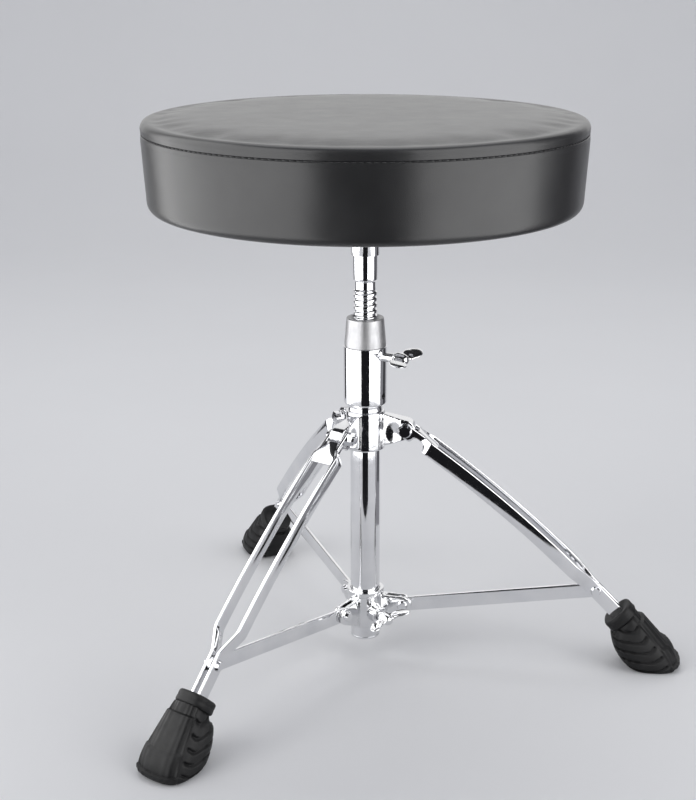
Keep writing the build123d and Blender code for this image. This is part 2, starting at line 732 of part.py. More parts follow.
def make_cover_top():
    edge_height = SEAT_TOP - SEAT_EDGE
    with BuildPart() as panel:
        with BuildSketch(Plane.XZ):
            with BuildLine():
                Polyline((0, SEAT_TOP - COVER), (0, SEAT_TOP), (SEAT_R - SEAT_EDGE, SEAT_TOP))
                RadiusArc((SEAT_R - SEAT_EDGE, SEAT_TOP), (SEAT_R, edge_height), SEAT_EDGE)
                Polyline(
                    (SEAT_R, edge_height),
                    (side_radius(SEAM_HEIGHT), SEAM_HEIGHT),
                    (side_radius(SEAM_HEIGHT) - COVER, SEAM_HEIGHT),
                    (SEAT_R - COVER, edge_height),
                )
                RadiusArc(
                    (SEAT_R - COVER, edge_height),
                    (SEAT_R - SEAT_EDGE, SEAT_TOP - COVER),
                    -(SEAT_EDGE - COVER),
                )
                Line((SEAT_R - SEAT_EDGE, SEAT_TOP - COVER), (0, SEAT_TOP - COVER))
            make_face()
        revolve(axis=Axis.Z)
    save(panel, "cover_top_panel")


def make_cover_band():
    seam_r = side_radius(SEAM_HEIGHT)
    with BuildPart() as band:
        with BuildSketch(Plane.XZ):
            with BuildLine():
                Polyline(
                    (seam_r, SEAM_HEIGHT),
                    (SEAT_BOTTOM_R, SEAT_BOTTOM + COVER),
                    (SEAT_BOTTOM_R - COVER, SEAT_BOTTOM),
                    (HEM_INNER_R, SEAT_BOTTOM),
                    (HEM_INNER_R, HEM_TOP),
                    (SEAT_BOTTOM_R - 2 * COVER, HEM_TOP),
                    (seam_r - COVER, SEAM_HEIGHT),
                    close=True,
                )
            make_face()
        revolve(axis=Axis.Z)
    save(band, "cover_side_band")


def make_seat_foam():
    top_r = SEAT_R - COVER - GAP
    low_r = SEAT_BOTTOM_R - 2 * COVER - 2 * GAP
    with BuildPart() as foam:
        with BuildSketch(Plane.XZ):
            with BuildLine():
                Polyline(
                    (0, BOARD_TOP),
                    (low_r, BOARD_TOP),
                    (top_r - GAP, SEAT_TOP - SEAT_EDGE),
                    (top_r - SEAT_EDGE + COVER, SEAT_TOP - COVER - GAP),
                    (0, SEAT_TOP - COVER - GAP),
                    close=True,
                )
            make_face()
        revolve(axis=Axis.Z)
    save(foam, "seat_foam")


def make_seat_board():
    with BuildPart() as board:
        disc_ring(2 * BOARD_R, 0, BOARD_BOTTOM, BOARD_TOP)
        with BuildSketch(Plane.XY.offset(BOARD_BOTTOM)):
            with seat_bolts():
                Circle(TEE_BARREL_D / 2 + TUCK)
        extrude(amount=BOARD_THICKNESS, mode=Mode.SUBTRACT)
        with BuildSketch(Plane.XY.offset(BOARD_TOP - TEE_FLANGE)):
            with seat_bolts():
                Circle(TEE_FLANGE_D / 2 + TUCK)
        extrude(amount=TEE_FLANGE, mode=Mode.SUBTRACT)
    save(board, "seat_board")


def make_tee_nuts():
    with BuildPart() as nuts:
        with BuildSketch(Plane.XY.offset(BOARD_BOTTOM)):
            with seat_bolts():
                Circle(TEE_BARREL_D / 2)
        extrude(amount=BOARD_THICKNESS)
        with BuildSketch(Plane.XY.offset(BOARD_TOP - TEE_FLANGE)):
            with seat_bolts():
                Circle(TEE_FLANGE_D / 2)
        extrude(amount=TEE_FLANGE)
        with BuildSketch(Plane.XY.offset(BOARD_BOTTOM)):
            with seat_bolts():
                Circle(SEAT_BOLT_D / 2 + TUCK)
        extrude(amount=BOARD_THICKNESS, mode=Mode.SUBTRACT)
    save(nuts, "seat_tee_nuts")


def make_seat_bolts():
    with BuildPart() as bolts:
        with BuildSketch(Plane.XY.offset(PLATE_BOTTOM)):
            with seat_bolts():
                Circle(SEAT_BOLT_D / 2)
        extrude(amount=BOARD_TOP - PLATE_BOTTOM - TEE_FLANGE)
        with BuildSketch(Plane.XY.offset(PLATE_BOTTOM)):
            with seat_bolts():
                Circle(SEAT_BOLT_HEAD_D / 2)
        extrude(amount=-SEAT_BOLT_HEAD, taper=12)
    save(bolts, "seat_bolts")


def make_dust_cover():
    with BuildPart() as dust:
        disc_ring(2 * (HEM_INNER_R - GAP), 0, SEAT_BOTTOM, HEM_TOP)
        with BuildSketch(Plane.XY.offset(SEAT_BOTTOM)):
            with seat_bolts():
                Circle(SEAT_BOLT_D / 2 + GAP)
        extrude(amount=COVER, mode=Mode.SUBTRACT)
    save(dust, "dust_cover")


def make_cover_staples():
    crown, width, height = STAPLE
    with BuildPart() as staples:
        with BuildSketch(Plane.XY.offset(SEAT_BOTTOM)):
            with PolarLocations(STAPLE_RING_R, STAPLES):
                Rectangle(width, crown)
        extrude(amount=-height)
        with BuildSketch(Plane.XY.offset(SEAT_BOTTOM)):
            with PolarLocations(STAPLE_RING_R, STAPLES):
                with Locations((0, crown / 2 - height), (0, height - crown / 2)):
                    Rectangle(width, height)
        extrude(amount=STAPLE_LEG)
    save(staples, "cover_staples")


def make_seat_bracket():
    gusset_top = PLATE_BOTTOM + 1
    with BuildPart() as bracket:
        with BuildSketch(Plane.XY.offset(PLATE_BOTTOM)):
            RectangleRounded(BRACKET_PLATE, BRACKET_PLATE, PLATE_ROUND)
        extrude(amount=PLATE_THICKNESS)
        disc_ring(SOCKET_OD, 0, SOCKET_BOTTOM, PLATE_BOTTOM + 1)
        for azimuth in range(0, 360, 90):
            with BuildSketch(side_plane(azimuth)):
                with BuildLine():
                    Polyline(
                        (SOCKET_OD / 2 - 1, gusset_top),
                        (GUSSET_REACH, gusset_top),
                        (GUSSET_REACH, PLATE_BOTTOM - GUSSET_THICKNESS),
                        (SOCKET_OD / 2 - 1, SOCKET_PIN_HEIGHT + SOCKET_PIN_D),
                        close=True,
                    )
                make_face()
            extrude(amount=GUSSET_THICKNESS / 2, both=True)
        with BuildSketch(Plane.XY.offset(SOCKET_BOTTOM)):
            Circle(SPINDLE_PLAIN_D / 2 + TUCK)
        extrude(amount=SPINDLE_TOP - SOCKET_BOTTOM + TUCK, mode=Mode.SUBTRACT)
        with BuildSketch(Plane.XY.offset(PLATE_BOTTOM)):
            with seat_bolts():
                Circle(SEAT_BOLT_D / 2 + GAP)
        extrude(amount=PLATE_THICKNESS, mode=Mode.SUBTRACT)
        with BuildSketch(bore_plane(SOCKET_PIN_AZIMUTH, SOCKET_PIN_HEIGHT)):
            Circle(SOCKET_PIN_D / 2 + TUCK)
        extrude(amount=SOCKET_OD, both=True, mode=Mode.SUBTRACT)
    save(bracket, "seat_bracket")


def make_socket_pin():
    with BuildPart() as pin:
        with BuildSketch(bore_plane(SOCKET_PIN_AZIMUTH, SOCKET_PIN_HEIGHT)):
            Circle(SOCKET_PIN_D / 2)
        extrude(amount=SOCKET_OD / 2, both=True)
    save(pin, "socket_pin")


def make_all():
    make_base_tube()
    make_tube_end_cap()
    make_upper_sleeve()
    make_sleeve_set_screw()
    make_spindle_nut()
    make_neck_ring()
    make_leg_bracket()
    make_legs()
    make_stay_hub()
    make_hub_rivets()
    make_stays()
    make_wing_bolts()
    make_spindle()
    make_spindle_guide()
    make_guide_screw()
    make_seat_bracket()
    make_socket_pin()
    make_seat_bolts()
    make_tee_nuts()
    make_seat_board()
    make_seat_foam()
    make_cover_top()
    make_cover_band()
    make_dust_cover()
    make_cover_staples()


make_all()
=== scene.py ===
import json
from math import asin, cos, hypot, pi, radians, sin, sqrt, tan, tanh

import bmesh
import bpy
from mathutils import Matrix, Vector, kdtree, noise


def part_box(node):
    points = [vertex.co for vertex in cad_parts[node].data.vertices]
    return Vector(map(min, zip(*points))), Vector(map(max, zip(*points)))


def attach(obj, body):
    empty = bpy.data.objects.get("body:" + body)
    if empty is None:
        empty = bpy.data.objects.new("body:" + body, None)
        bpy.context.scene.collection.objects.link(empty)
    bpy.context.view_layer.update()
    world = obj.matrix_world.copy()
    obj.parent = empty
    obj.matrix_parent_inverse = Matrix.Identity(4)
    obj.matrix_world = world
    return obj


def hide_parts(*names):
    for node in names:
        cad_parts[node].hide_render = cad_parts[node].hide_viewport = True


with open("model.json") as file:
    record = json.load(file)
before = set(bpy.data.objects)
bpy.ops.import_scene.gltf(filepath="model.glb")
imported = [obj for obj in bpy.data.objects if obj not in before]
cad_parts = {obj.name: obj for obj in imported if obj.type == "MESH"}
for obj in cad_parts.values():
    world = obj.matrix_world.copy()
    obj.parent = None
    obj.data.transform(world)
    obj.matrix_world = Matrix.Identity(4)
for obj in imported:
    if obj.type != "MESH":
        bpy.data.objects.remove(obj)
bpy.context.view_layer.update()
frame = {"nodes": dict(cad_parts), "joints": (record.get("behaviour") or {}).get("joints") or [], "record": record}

# The drum throne's looks: metres, +Z up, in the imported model's own frame.
MM = 0.001
NODES = frame["nodes"]
JOINTS = {joint["name"]: joint for joint in frame["joints"]}
BODY_OF = {
    node: body
    for body, members in frame["record"]["behaviour"]["bodies"].items()
    for node in members
}
SLOT_OF = {name: node.data.materials[0].name for name, node in NODES.items()}
LEGS = (1, 2, 3)
UP = Vector((0, 0, 1))

# ---- Camera ----
CAMERA_AT = (0, -1.2452, 0.6194)
CAMERA_PITCH = 17.22
LENS = 69.12
SHIFT = -0.0216

# ---- Rails and stays: flat straps, formed round the leg's own plane ----
RAIL_DEPTH = 12 * MM
RAIL_THICKNESS = 2.5 * MM
RAIL_BOW = 5.6 * MM
RAIL_TAIL = 50 * MM  # straight end, from the stay rivet to the last rivet
RAIL_AT_HUB = 7.95 * MM
RAIL_APART = 11.5 * MM
RAIL_AT_TAIL = 3.3 * MM
JOGGLE_R = (49 * MM, 54 * MM)
PINCH_R = (181 * MM, 194.5 * MM)
NECK_SPAN = (9 * MM, 21 * MM)
NECK_DEPTH = 5.5 * MM
STAY_RIVET = (200.8 * MM, 68 * MM)
STAY_DEPTH = 13 * MM
STAY_THICKNESS = 3 * MM
STRAP_CORNER = 0.7 * MM
BEND_EASE = 1.5 * MM
RAIL_STEP = 1.25 * MM
STAY_STEP = 1 * MM

# ---- Column ----
TUBE_WALL = 1.5 * MM
SLEEVE_ROUND = 2 * MM
TUBE_EDGE = 0.4 * MM
NUT_TOP_R = 15.7 * MM
NUT_BORE_R = 10.1 * MM
NUT_SPIGOT_WALL = 4.4 * MM
NUT_COUNTERSINK = 2.2 * MM
RECESS_WALL = 1.2 * MM
RECESS_DEPTH = 2.9 * MM
SET_SCREW_HOLE_R = 2.55 * MM

# ---- Castings: the webs of the leg bracket, as (distance, height) and half sizes ----
CAST_VOXEL = 0.6 * MM
CAST_ROUNDS = 5
WEB_START = 16 * MM
WEB_TIP = 31 * MM
WEB_HALF = 6.4 * MM
WEB_DRAFT = -9
POCKET_AT = (25 * MM, 206 * MM)
POCKET_SIZE = (8 * MM, 11 * MM)
POCKET_DEPTH = 0.9 * MM

# ---- Screw ----
THREAD_PITCH = 5 * MM
THREAD_DEPTH = 1.3 * MM
THREAD_R = 10 * MM
PLAIN_R = 10.3 * MM
SHANK_R = 6 * MM
THREAD_SPAN = (166 * MM, 331 * MM)
RELIEF_TOP = 339 * MM

# ---- Seat ----
HEM = 1.4 * MM
SEAT_EDGE = 8 * MM
SEAT_FOOT = 9 * MM
HEM_R = 148 * MM
STITCHES = 210
STITCH_DROP = 0.2 * MM
STITCH_R = 0.5 * MM
STITCH_SHARE = 0.34
SEAT_SEGMENTS = 360
SWELL_INSET = 2.5 * MM
SWELL_VOXEL = 6 * MM
CLOTH_FRAMES = 20
FOAM_HOLE_R = 20 * MM

# ---- Boots: a level is (height, middle, half length, half width) ----
COLLAR_POINT = 27 * MM
COLLAR_LENGTH = 10 * MM
COLLAR_HALF = 14 * MM
SOLE_MIDDLE = 253 * MM
BOOT_LEVELS = (
    (28 * MM, SOLE_MIDDLE - 16 * MM, 21.5 * MM, 19 * MM),
    (16 * MM, SOLE_MIDDLE - 8.5 * MM, 25.5 * MM, 22 * MM),
    (5 * MM, SOLE_MIDDLE - 2 * MM, 24.5 * MM, 23 * MM),
    (0.6 * MM, SOLE_MIDDLE - 0.5 * MM, 20.5 * MM, 21 * MM),
)
BOOT_TIERS = 4
ARC_SPACING = 8.2 * MM
BOOT_SQUARENESS = 2.9
BOOT_SEGMENTS = 144
BOOT_RINGS = 110
# the collar, then the tread, as (millimetres along or up, share of the full size)
COLLAR_SHAPE = (
    (2.0, 0.35), (0.8, 0.62), (0.0, 0.8), (0.0, 0.92), (0.7, 0.975), (1.8, 1.0), (4.0, 1.0),
    (4.8, 0.985), (5.6, 1.0), (8.2, 1.01), (9.2, 0.985), (9.9, 0.93), (10.1, 0.86),
)
TREAD_SHAPE = (
    (0, 0.95), (0, 0.84), (1.2, 0.82), (1.2, 0.74), (0, 0.72), (0, 0.58), (1.2, 0.56),
    (1.2, 0.47), (0, 0.45), (0, 0.3), (1.2, 0.28), (1.2, 0.16),
)

# ---- Wing bolts ----
WING_BOLTS = {
    "wing_bolt": {
        "azimuth": -30, "height": 274 * MM, "roll": 83, "tilt": 12,
        "inset": 0.4 * MM, "reach": 30 * MM, "breadth": 7.6 * MM,
    },
    "hub_wing_bolt": {
        "azimuth": -55, "height": 42 * MM, "roll": 78, "tilt": 0,
        "inset": 3.6 * MM, "reach": 27 * MM, "breadth": 5.2 * MM,
    },
}
WING_ROOT = 4.4 * MM
WING_STEPS = 32
SHELL_SEGMENTS = 28
WING_SPAN = 19 * MM
WING_SWEEP = 7 * MM


# ================================================================ materials
NOISE_RANGE = (0.3, 0.7)  # where most of a noise value's spread lies


def new_material(name, color, roughness, metallic=0.0, specular=0.5):
    """A material with its Principled shader, ready for textures."""
    material = bpy.data.materials.new(name)
    material.use_nodes = True
    surface = material.node_tree.nodes["Principled BSDF"]
    surface.inputs["Base Color"].default_value = (*color, 1)
    surface.inputs["Roughness"].default_value = roughness
    surface.inputs["Metallic"].default_value = metallic
    surface.inputs["Specular IOR Level"].default_value = specular
    return material


def coordinates(tree, stretch=(1, 1, 1)):
    """The piece's own coordinates, stretched along its axes."""
    source = tree.nodes.new("ShaderNodeTexCoord")
    mapping = tree.nodes.new("ShaderNodeMapping")
    mapping.inputs["Scale"].default_value = stretch
    tree.links.new(source.outputs["Object"], mapping.inputs["Vector"])
    return mapping.outputs["Vector"]


def cloudy(material, scale, detail=4, stretch=(1, 1, 1)):
    """A noise value over the surface."""
    tree = material.node_tree
    texture = tree.nodes.new("ShaderNodeTexNoise")
    texture.inputs["Scale"].default_value = scale
    texture.inputs["Detail"].default_value = detail
    tree.links.new(coordinates(tree, stretch), texture.inputs["Vector"])
    return texture.outputs["Fac"]


def cells(material, scale, feature="F1"):
    """A cell pattern's distance value over the surface."""
    tree = material.node_tree
    texture = tree.nodes.new("ShaderNodeTexVoronoi")
    texture.feature = feature
    texture.inputs["Scale"].default_value = scale
    tree.links.new(coordinates(tree), texture.inputs["Vector"])
    return texture.outputs["Distance"]


def vary_roughness(material, value, low, high):
    """Roughness runs from low to high with the value."""
    tree = material.node_tree
    spread = tree.nodes.new("ShaderNodeMapRange")
    spread.inputs["From Min"].default_value, spread.inputs["From Max"].default_value = NOISE_RANGE
    spread.inputs["To Min"].default_value = low
    spread.inputs["To Max"].default_value = high
    tree.links.new(value, spread.inputs["Value"])
    surface = tree.nodes["Principled BSDF"]
    tree.links.new(spread.outputs["Result"], surface.inputs["Roughness"])


def vary_color(material, value, dark, light):
    """Base colour runs from dark to light with the value."""
    tree = material.node_tree
    ramp = tree.nodes.new("ShaderNodeValToRGB")
    for element, position, tone in zip(ramp.color_ramp.elements, NOISE_RANGE, (dark, light)):
        element.position = position
        element.color = (*tone, 1)
    tree.links.new(value, ramp.inputs["Fac"])
    surface = tree.nodes["Principled BSDF"]
    tree.links.new(ramp.outputs["Color"], surface.inputs["Base Color"])


def emboss(material, value, distance, strength=1.0):
    """Adds relief of a depth in metres, on top of any that is there."""
    tree = material.node_tree
    surface = tree.nodes["Principled BSDF"]
    bump = tree.nodes.new("ShaderNodeBump")
    bump.inputs["Distance"].default_value = distance
    bump.inputs["Strength"].default_value = strength
    tree.links.new(value, bump.inputs["Height"])
    below = surface.inputs["Normal"].links
    if below:
        tree.links.new(below[0].from_socket, bump.inputs["Normal"])
    tree.links.new(bump.outputs["Normal"], surface.inputs["Normal"])


def chrome():
    material = new_material("polished_chrome", (0.78, 0.79, 0.8), 0.06, metallic=1)
    vary_color(material, cloudy(material, 40), (0.73, 0.735, 0.755), (0.81, 0.81, 0.82))
    vary_roughness(material, cloudy(material, 220), 0.035, 0.1)
    emboss(material, cloudy(material, 90, detail=2), 0.05 * MM, 0.35)
    return material


def cast_chrome():
    material = new_material("cast_chrome", (0.78, 0.79, 0.8), 0.08, metallic=1)
    vary_color(material, cloudy(material, 60), (0.7, 0.705, 0.72), (0.8, 0.8, 0.81))
    vary_roughness(material, cloudy(material, 260), 0.05, 0.14)
    emboss(material, cloudy(material, 150, detail=3), 0.12 * MM, 0.5)
    return material


def satin_nut():
    material = new_material("satin_steel", (0.4, 0.4, 0.41), 0.56, metallic=1)
    vary_color(material, cloudy(material, 120), (0.36, 0.36, 0.37), (0.44, 0.44, 0.45))
    vary_roughness(material, cloudy(material, 500, stretch=(1, 1, 0.2)), 0.36, 0.5)
    emboss(material, cloudy(material, 1600), 0.02 * MM, 0.4)
    return material


def zinc_steel():
    material = new_material("zinc_plate", (0.62, 0.63, 0.64), 0.3, metallic=1)
    vary_color(material, cloudy(material, 150), (0.52, 0.53, 0.55), (0.68, 0.68, 0.66))
    vary_roughness(material, cloudy(material, 700), 0.22, 0.42)
    emboss(material, cloudy(material, 900), 0.03 * MM, 0.4)
    return material


def black_oxide():
    material = new_material("black_oxide_steel", (0.03, 0.03, 0.032), 0.45, metallic=1)
    vary_color(material, cloudy(material, 400), (0.02, 0.02, 0.022), (0.05, 0.05, 0.052))
    vary_roughness(material, cloudy(material, 900), 0.35, 0.55)
    return material


def nylon():
    material = new_material("moulded_nylon", (0.82, 0.81, 0.77), 0.45)
    vary_color(material, cloudy(material, 90), (0.78, 0.77, 0.72), (0.85, 0.84, 0.8))
    emboss(material, cloudy(material, 700), 0.03 * MM, 0.4)
    return material


def brass_pad():
    material = new_material("turned_brass", (0.72, 0.58, 0.28), 0.32, metallic=1)
    vary_color(material, cloudy(material, 300), (0.62, 0.48, 0.2), (0.76, 0.62, 0.32))
    vary_roughness(material, cloudy(material, 900), 0.25, 0.45)
    return material


def leatherette():
    material = new_material("black_leatherette", (0.018, 0.018, 0.019), 0.3)
    vary_color(material, cloudy(material, 22), (0.014, 0.014, 0.015), (0.024, 0.024, 0.025))
    vary_roughness(material, cloudy(material, 60, detail=6), 0.3, 0.33)
    emboss(material, cells(material, 820, "DISTANCE_TO_EDGE"), 0.1 * MM, 0.5)
    emboss(material, cloudy(material, 2400, detail=3), 0.05 * MM, 0.35)
    return material


def thread():
    material = new_material("stitch_thread", (0.012, 0.012, 0.013), 0.7)
    vary_color(material, cloudy(material, 2500), (0.008, 0.008, 0.009), (0.02, 0.02, 0.022))
    emboss(material, cloudy(material, 3000), 0.1 * MM, 0.6)
    return material


def foam():
    material = new_material("cut_foam", (0.83, 0.8, 0.7), 0.9)
    vary_color(material, cloudy(material, 50), (0.78, 0.73, 0.6), (0.86, 0.83, 0.73))
    emboss(material, cells(material, 650), 0.6 * MM, 0.8)
    return material


def plywood():
    material = new_material("birch_plywood", (0.62, 0.47, 0.3), 0.62)
    grain = cloudy(material, 60, detail=6, stretch=(0.15, 1, 9))
    vary_color(material, grain, (0.42, 0.29, 0.16), (0.7, 0.55, 0.36))
    emboss(material, cloudy(material, 160, detail=5, stretch=(0.1, 1, 6)), 0.2 * MM, 0.5)
    return material


def dust_cloth():
    material = new_material("felted_cloth", (0.03, 0.03, 0.031), 0.92, specular=0.2)
    vary_color(material, cloudy(material, 500), (0.02, 0.02, 0.021), (0.045, 0.045, 0.047))
    emboss(material, cells(material, 1100), 0.15 * MM, 0.7)
    return material


def rubber():
    material = new_material("black_rubber", (0.006, 0.006, 0.0065), 0.5, specular=0.26)
    tones = cloudy(material, 130, detail=6)
    vary_color(material, tones, (0.003, 0.003, 0.0033), (0.009, 0.009, 0.0095))
    vary_roughness(material, cloudy(material, 90), 0.42, 0.6)
    emboss(material, cloudy(material, 1300, detail=5), 0.12 * MM, 0.7)
    emboss(material, cloudy(material, 240, detail=3), 0.25 * MM, 0.5)
    return material


def paper(name, tone):
    material = new_material(name, (tone, tone, tone), 0.9, specular=0.1)
    vary_color(material, cloudy(material, 4), (tone * 0.985,) * 3, (tone,) * 3)
    return material


def glow(name, tone, strength):
    """A light card's material."""
    material = bpy.data.materials.new(name)
    material.use_nodes = True
    tree = material.node_tree
    tree.nodes.clear()
    light = tree.nodes.new("ShaderNodeEmission")
    light.inputs["Color"].default_value = (*tone, 1)
    light.inputs["Strength"].default_value = strength
    output = tree.nodes.new("ShaderNodeOutputMaterial")
    tree.links.new(light.outputs["Emission"], output.inputs["Surface"])
    return material


FINISH = {
    "chrome": chrome(),
    "satin_nut": satin_nut(),
    "zinc_steel": zinc_steel(),
    "nylon": nylon(),
    "brass_pad": brass_pad(),
    "leatherette": leatherette(),
    "foam": foam(),
    "plywood": plywood(),
    "dust_cloth": dust_cloth(),
    "rubber": rubber(),
}
CAST_CHROME = cast_chrome()
BLACK_OXIDE = black_oxide()
THREAD = thread()


# ================================================================ mesh helpers
def smoothstep(value, start, end):
    share = min(max((value - start) / (end - start), 0), 1)
    return share * share * (3 - 2 * share)


def add_piece(name, mesh):
    piece = bpy.data.objects.new(name, mesh)
    bpy.context.scene.collection.objects.link(piece)
    return piece


def shaded(mesh, angle=38):
    """Faces turned outwards and shaded smooth, except across sharp edges."""
    work = bmesh.new()
    work.from_mesh(mesh)
    bmesh.ops.recalc_face_normals(work, faces=work.faces)
    work.to_mesh(mesh)
    work.free()
    mesh.shade_smooth()
    mesh.set_sharp_from_angle(angle=radians(angle))
    return mesh


def quads(rings, looped=False, first=0):
    """Faces between rings of equally many points."""
    count = len(rings[0])
    rows = len(rings) if looped else len(rings) - 1
    faces = []
    for row in range(rows):
        here = first + row * count
        there = first + (row + 1) % len(rings) * count
        for column in range(count):
            after = (column + 1) % count
            faces.append((here + column, here + after, there + after, there + column))
    return faces


def skin(name, rings, looped=False, angle=38):
    """A closed mesh of quads through rings, capped unless it loops."""
    count = len(rings[0])
    vertices = [point for ring in rings for point in ring]
    faces = quads(rings, looped)
    if not looped:
        faces.append(tuple(range(count)))
        faces.append(tuple(range(len(vertices) - count, len(vertices))))
    mesh = bpy.data.meshes.new(name)
    mesh.from_pydata(vertices, [], faces)
    return shaded(mesh, angle)


def capped_shells(name, shells):
    """A mesh of several closed shells, each a list of rings."""
    vertices, faces = [], []
    for rings in shells:
        first = len(vertices)
        count = len(rings[0])
        vertices += [point for ring in rings for point in ring]
        faces += quads(rings, first=first)
        faces.append(tuple(range(first, first + count)))
        faces.append(tuple(range(len(vertices) - count, len(vertices))))
    mesh = bpy.data.meshes.new(name)
    mesh.from_pydata(vertices, [], faces)
    return shaded(mesh)


def softened(points, steps=5):
    """Points of (across, along, corner radius) as a line with rounded corners."""
    line = []
    for index, (x, y, radius) in enumerate(points):
        here = Vector((x, y))
        if radius == 0:
            line.append(here)
            continue
        before = Vector(points[index - 1][:2]) - here
        after = Vector(points[(index + 1) % len(points)][:2]) - here
        cut = min(radius, before.length * 0.48, after.length * 0.48)
        first = here + before.normalized() * cut
        last = here + after.normalized() * cut
        for step in range(steps + 1):
            share = step / steps
            bend = here * 2 * share * (1 - share)
            line.append(first * (1 - share) ** 2 + bend + last * share**2)
    return line


def turned(line, segments):
    """Rings about the column axis through a line of (radius, height)."""
    angles = [2 * pi * k / segments for k in range(segments)]
    return [[Vector((p.x * cos(a), p.x * sin(a), p.y)) for a in angles] for p in line]


def lathe(name, points, segments=96, looped=False):
    """A turned shape from (radius, height, corner radius) points."""
    return skin(name, turned(softened(points), segments), looped)


def rounded_section(low, high, half, corner):
    """A strap's section as (across the depth, sideways) points with round corners."""
    corner = min(corner, (high - low) * 0.45, half * 0.9)
    centres = (
        (high - corner, half - corner, 0),
        (low + corner, half - corner, 90),
        (low + corner, corner - half, 180),
        (high - corner, corner - half, 270),
    )
    points = []
    for depth, side, start in centres:
        for step in range(4):
            angle = radians(start + 90 * step / 3)
            points.append((depth + corner * cos(angle), side + corner * sin(angle)))
    return points


def stand_in(piece, *nodes, material=None):
    """The piece takes the place, body, slot and finish of CAD nodes."""
    slot = SLOT_OF[nodes[0]]
    piece.data.materials.clear()
    piece.data.materials.append(material or FINISH[slot])
    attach(piece, BODY_OF[nodes[0]])
    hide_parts(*nodes)
    return piece


def turn_for(node, points, looped=False, segments=96):
    """A turned piece in place of a CAD node."""
    name = f"{node}_turned"
    piece = add_piece(name, lathe(name, points, segments, looped))
    return stand_in(piece, node)


def applied(piece):
    """The piece with its modifiers made part of its mesh."""
    graph = bpy.context.evaluated_depsgraph_get()
    mesh = bpy.data.meshes.new_from_object(piece.evaluated_get(graph))
    piece.modifiers.clear()
    piece.data = mesh
    return piece


def copied(node, name):
    """A copy of a CAD node's mesh as a new piece, with its split edges welded."""
    mesh = NODES[node].data.copy()
    mesh.name = name
    work = bmesh.new()
    work.from_mesh(mesh)
    bmesh.ops.remove_doubles(work, verts=work.verts, dist=0.002 * MM)
    bmesh.ops.dissolve_limit(
        work, angle_limit=radians(0.5), verts=work.verts, edges=work.edges
    )
    work.to_mesh(mesh)
    work.free()
    normals = mesh.attributes.get("custom_normal")
    if normals:
        mesh.attributes.remove(normals)
    return add_piece(name, mesh)


def bevelled(node, width):
    """A CAD node with its sharp edges broken."""
    piece = copied(node, f"{node}_finished")
    bevel = piece.modifiers.new("edges", "BEVEL")
    bevel.width = width
    bevel.segments = 2
    bevel.limit_method = "ANGLE"
    bevel.angle_limit = radians(35)
    applied(piece)
    shaded(piece.data)
    return stand_in(piece, node)


def melted(piece, voxel, rounds):
    """Joins overlapping shells into one skin whose corners flow into each other."""
    remesh = piece.modifiers.new("voxels", "REMESH")
    remesh.mode = "VOXEL"
    remesh.voxel_size = voxel
    smooth = piece.modifiers.new("flow", "SMOOTH")
    smooth.iterations = rounds
    smooth.factor = 0.5
    applied(piece)
    shaded(piece.data, 60)
    return piece


def drill(piece, node, radius):
    """A radial hole through a turned piece, over a CAD node that lies in it."""
    low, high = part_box(node)
    middle = (low + high) / 2
    out = Vector((middle.x, middle.y, 0)).normalized()
    side = UP.cross(out)
    rings = []
    for reach in (10 * MM, 30 * MM):
        ring = []
        for k in range(32):
            turn = 2 * pi * k / 32
            ring.append(
                out * reach + UP * (middle.z + radius * sin(turn)) + side * radius * cos(turn)
            )
        rings.append(ring)
    cutter = add_piece("drill", skin("drill", rings))
    cut = piece.modifiers.new("hole", "BOOLEAN")
    cut.operation = "DIFFERENCE"
    cut.solver = "EXACT"
    cut.object = cutter
    applied(piece)
    bpy.data.objects.remove(cutter)
    piece.data.set_sharp_from_angle(angle=radians(38))


def cast(node):
    """A CAD node as a plated casting."""
    piece = melted(copied(node, f"{node}_casting"), CAST_VOXEL, CAST_ROUNDS)
    return stand_in(piece, node, material=CAST_CHROME)


def draw_in_webs(piece):
    """Draws a casting's webs in towards the column, as a mould's draft does."""
    for number in LEGS:
        outward, sideways = leg_frame(number)
        for vertex in piece.data.vertices:
            off = vertex.co.dot(sideways)
            reach = vertex.co.dot(outward)
            if abs(off) > WEB_HALF + 1 * MM or reach < WEB_START or reach > WEB_TIP:
                continue
            vertex.co += sideways * off / WEB_HALF * (WEB_TIP - reach) * tan(radians(WEB_DRAFT))


def pocket_webs(piece):
    """Sinks shallow pockets into both faces of a casting's webs."""
    for number in LEGS:
        outward, sideways = leg_frame(number)
        for vertex in piece.data.vertices:
            off = vertex.co.dot(sideways)
            reach = vertex.co.dot(outward)
            if abs(off) > 12 * MM or abs(off) < 3 * MM or reach < WEB_START:
                continue
            ahead = (reach - POCKET_AT[0]) / POCKET_SIZE[0]
            away = hypot(ahead, (vertex.co.z - POCKET_AT[1]) / POCKET_SIZE[1])
            sink = POCKET_DEPTH * (cos(pi * min(away, 1)) + 1) / 2
            vertex.co -= sideways * (sink if off > 0 else -sink)


# ================================================================ legs and stays
def leg_frame(number):
    """Outward and sideways unit vectors of a leg."""
    pivot = JOINTS[f"leg_{number}_fold"]["pos_m"]
    outward = Vector((pivot[0], pivot[1], 0)).normalized()
    return outward, UP.cross(outward)


def own_plane(joint):
    """A joint's place as (distance from the column axis, height)."""
    x, y, z = JOINTS[joint]["pos_m"]
    return Vector((hypot(x, y), z))


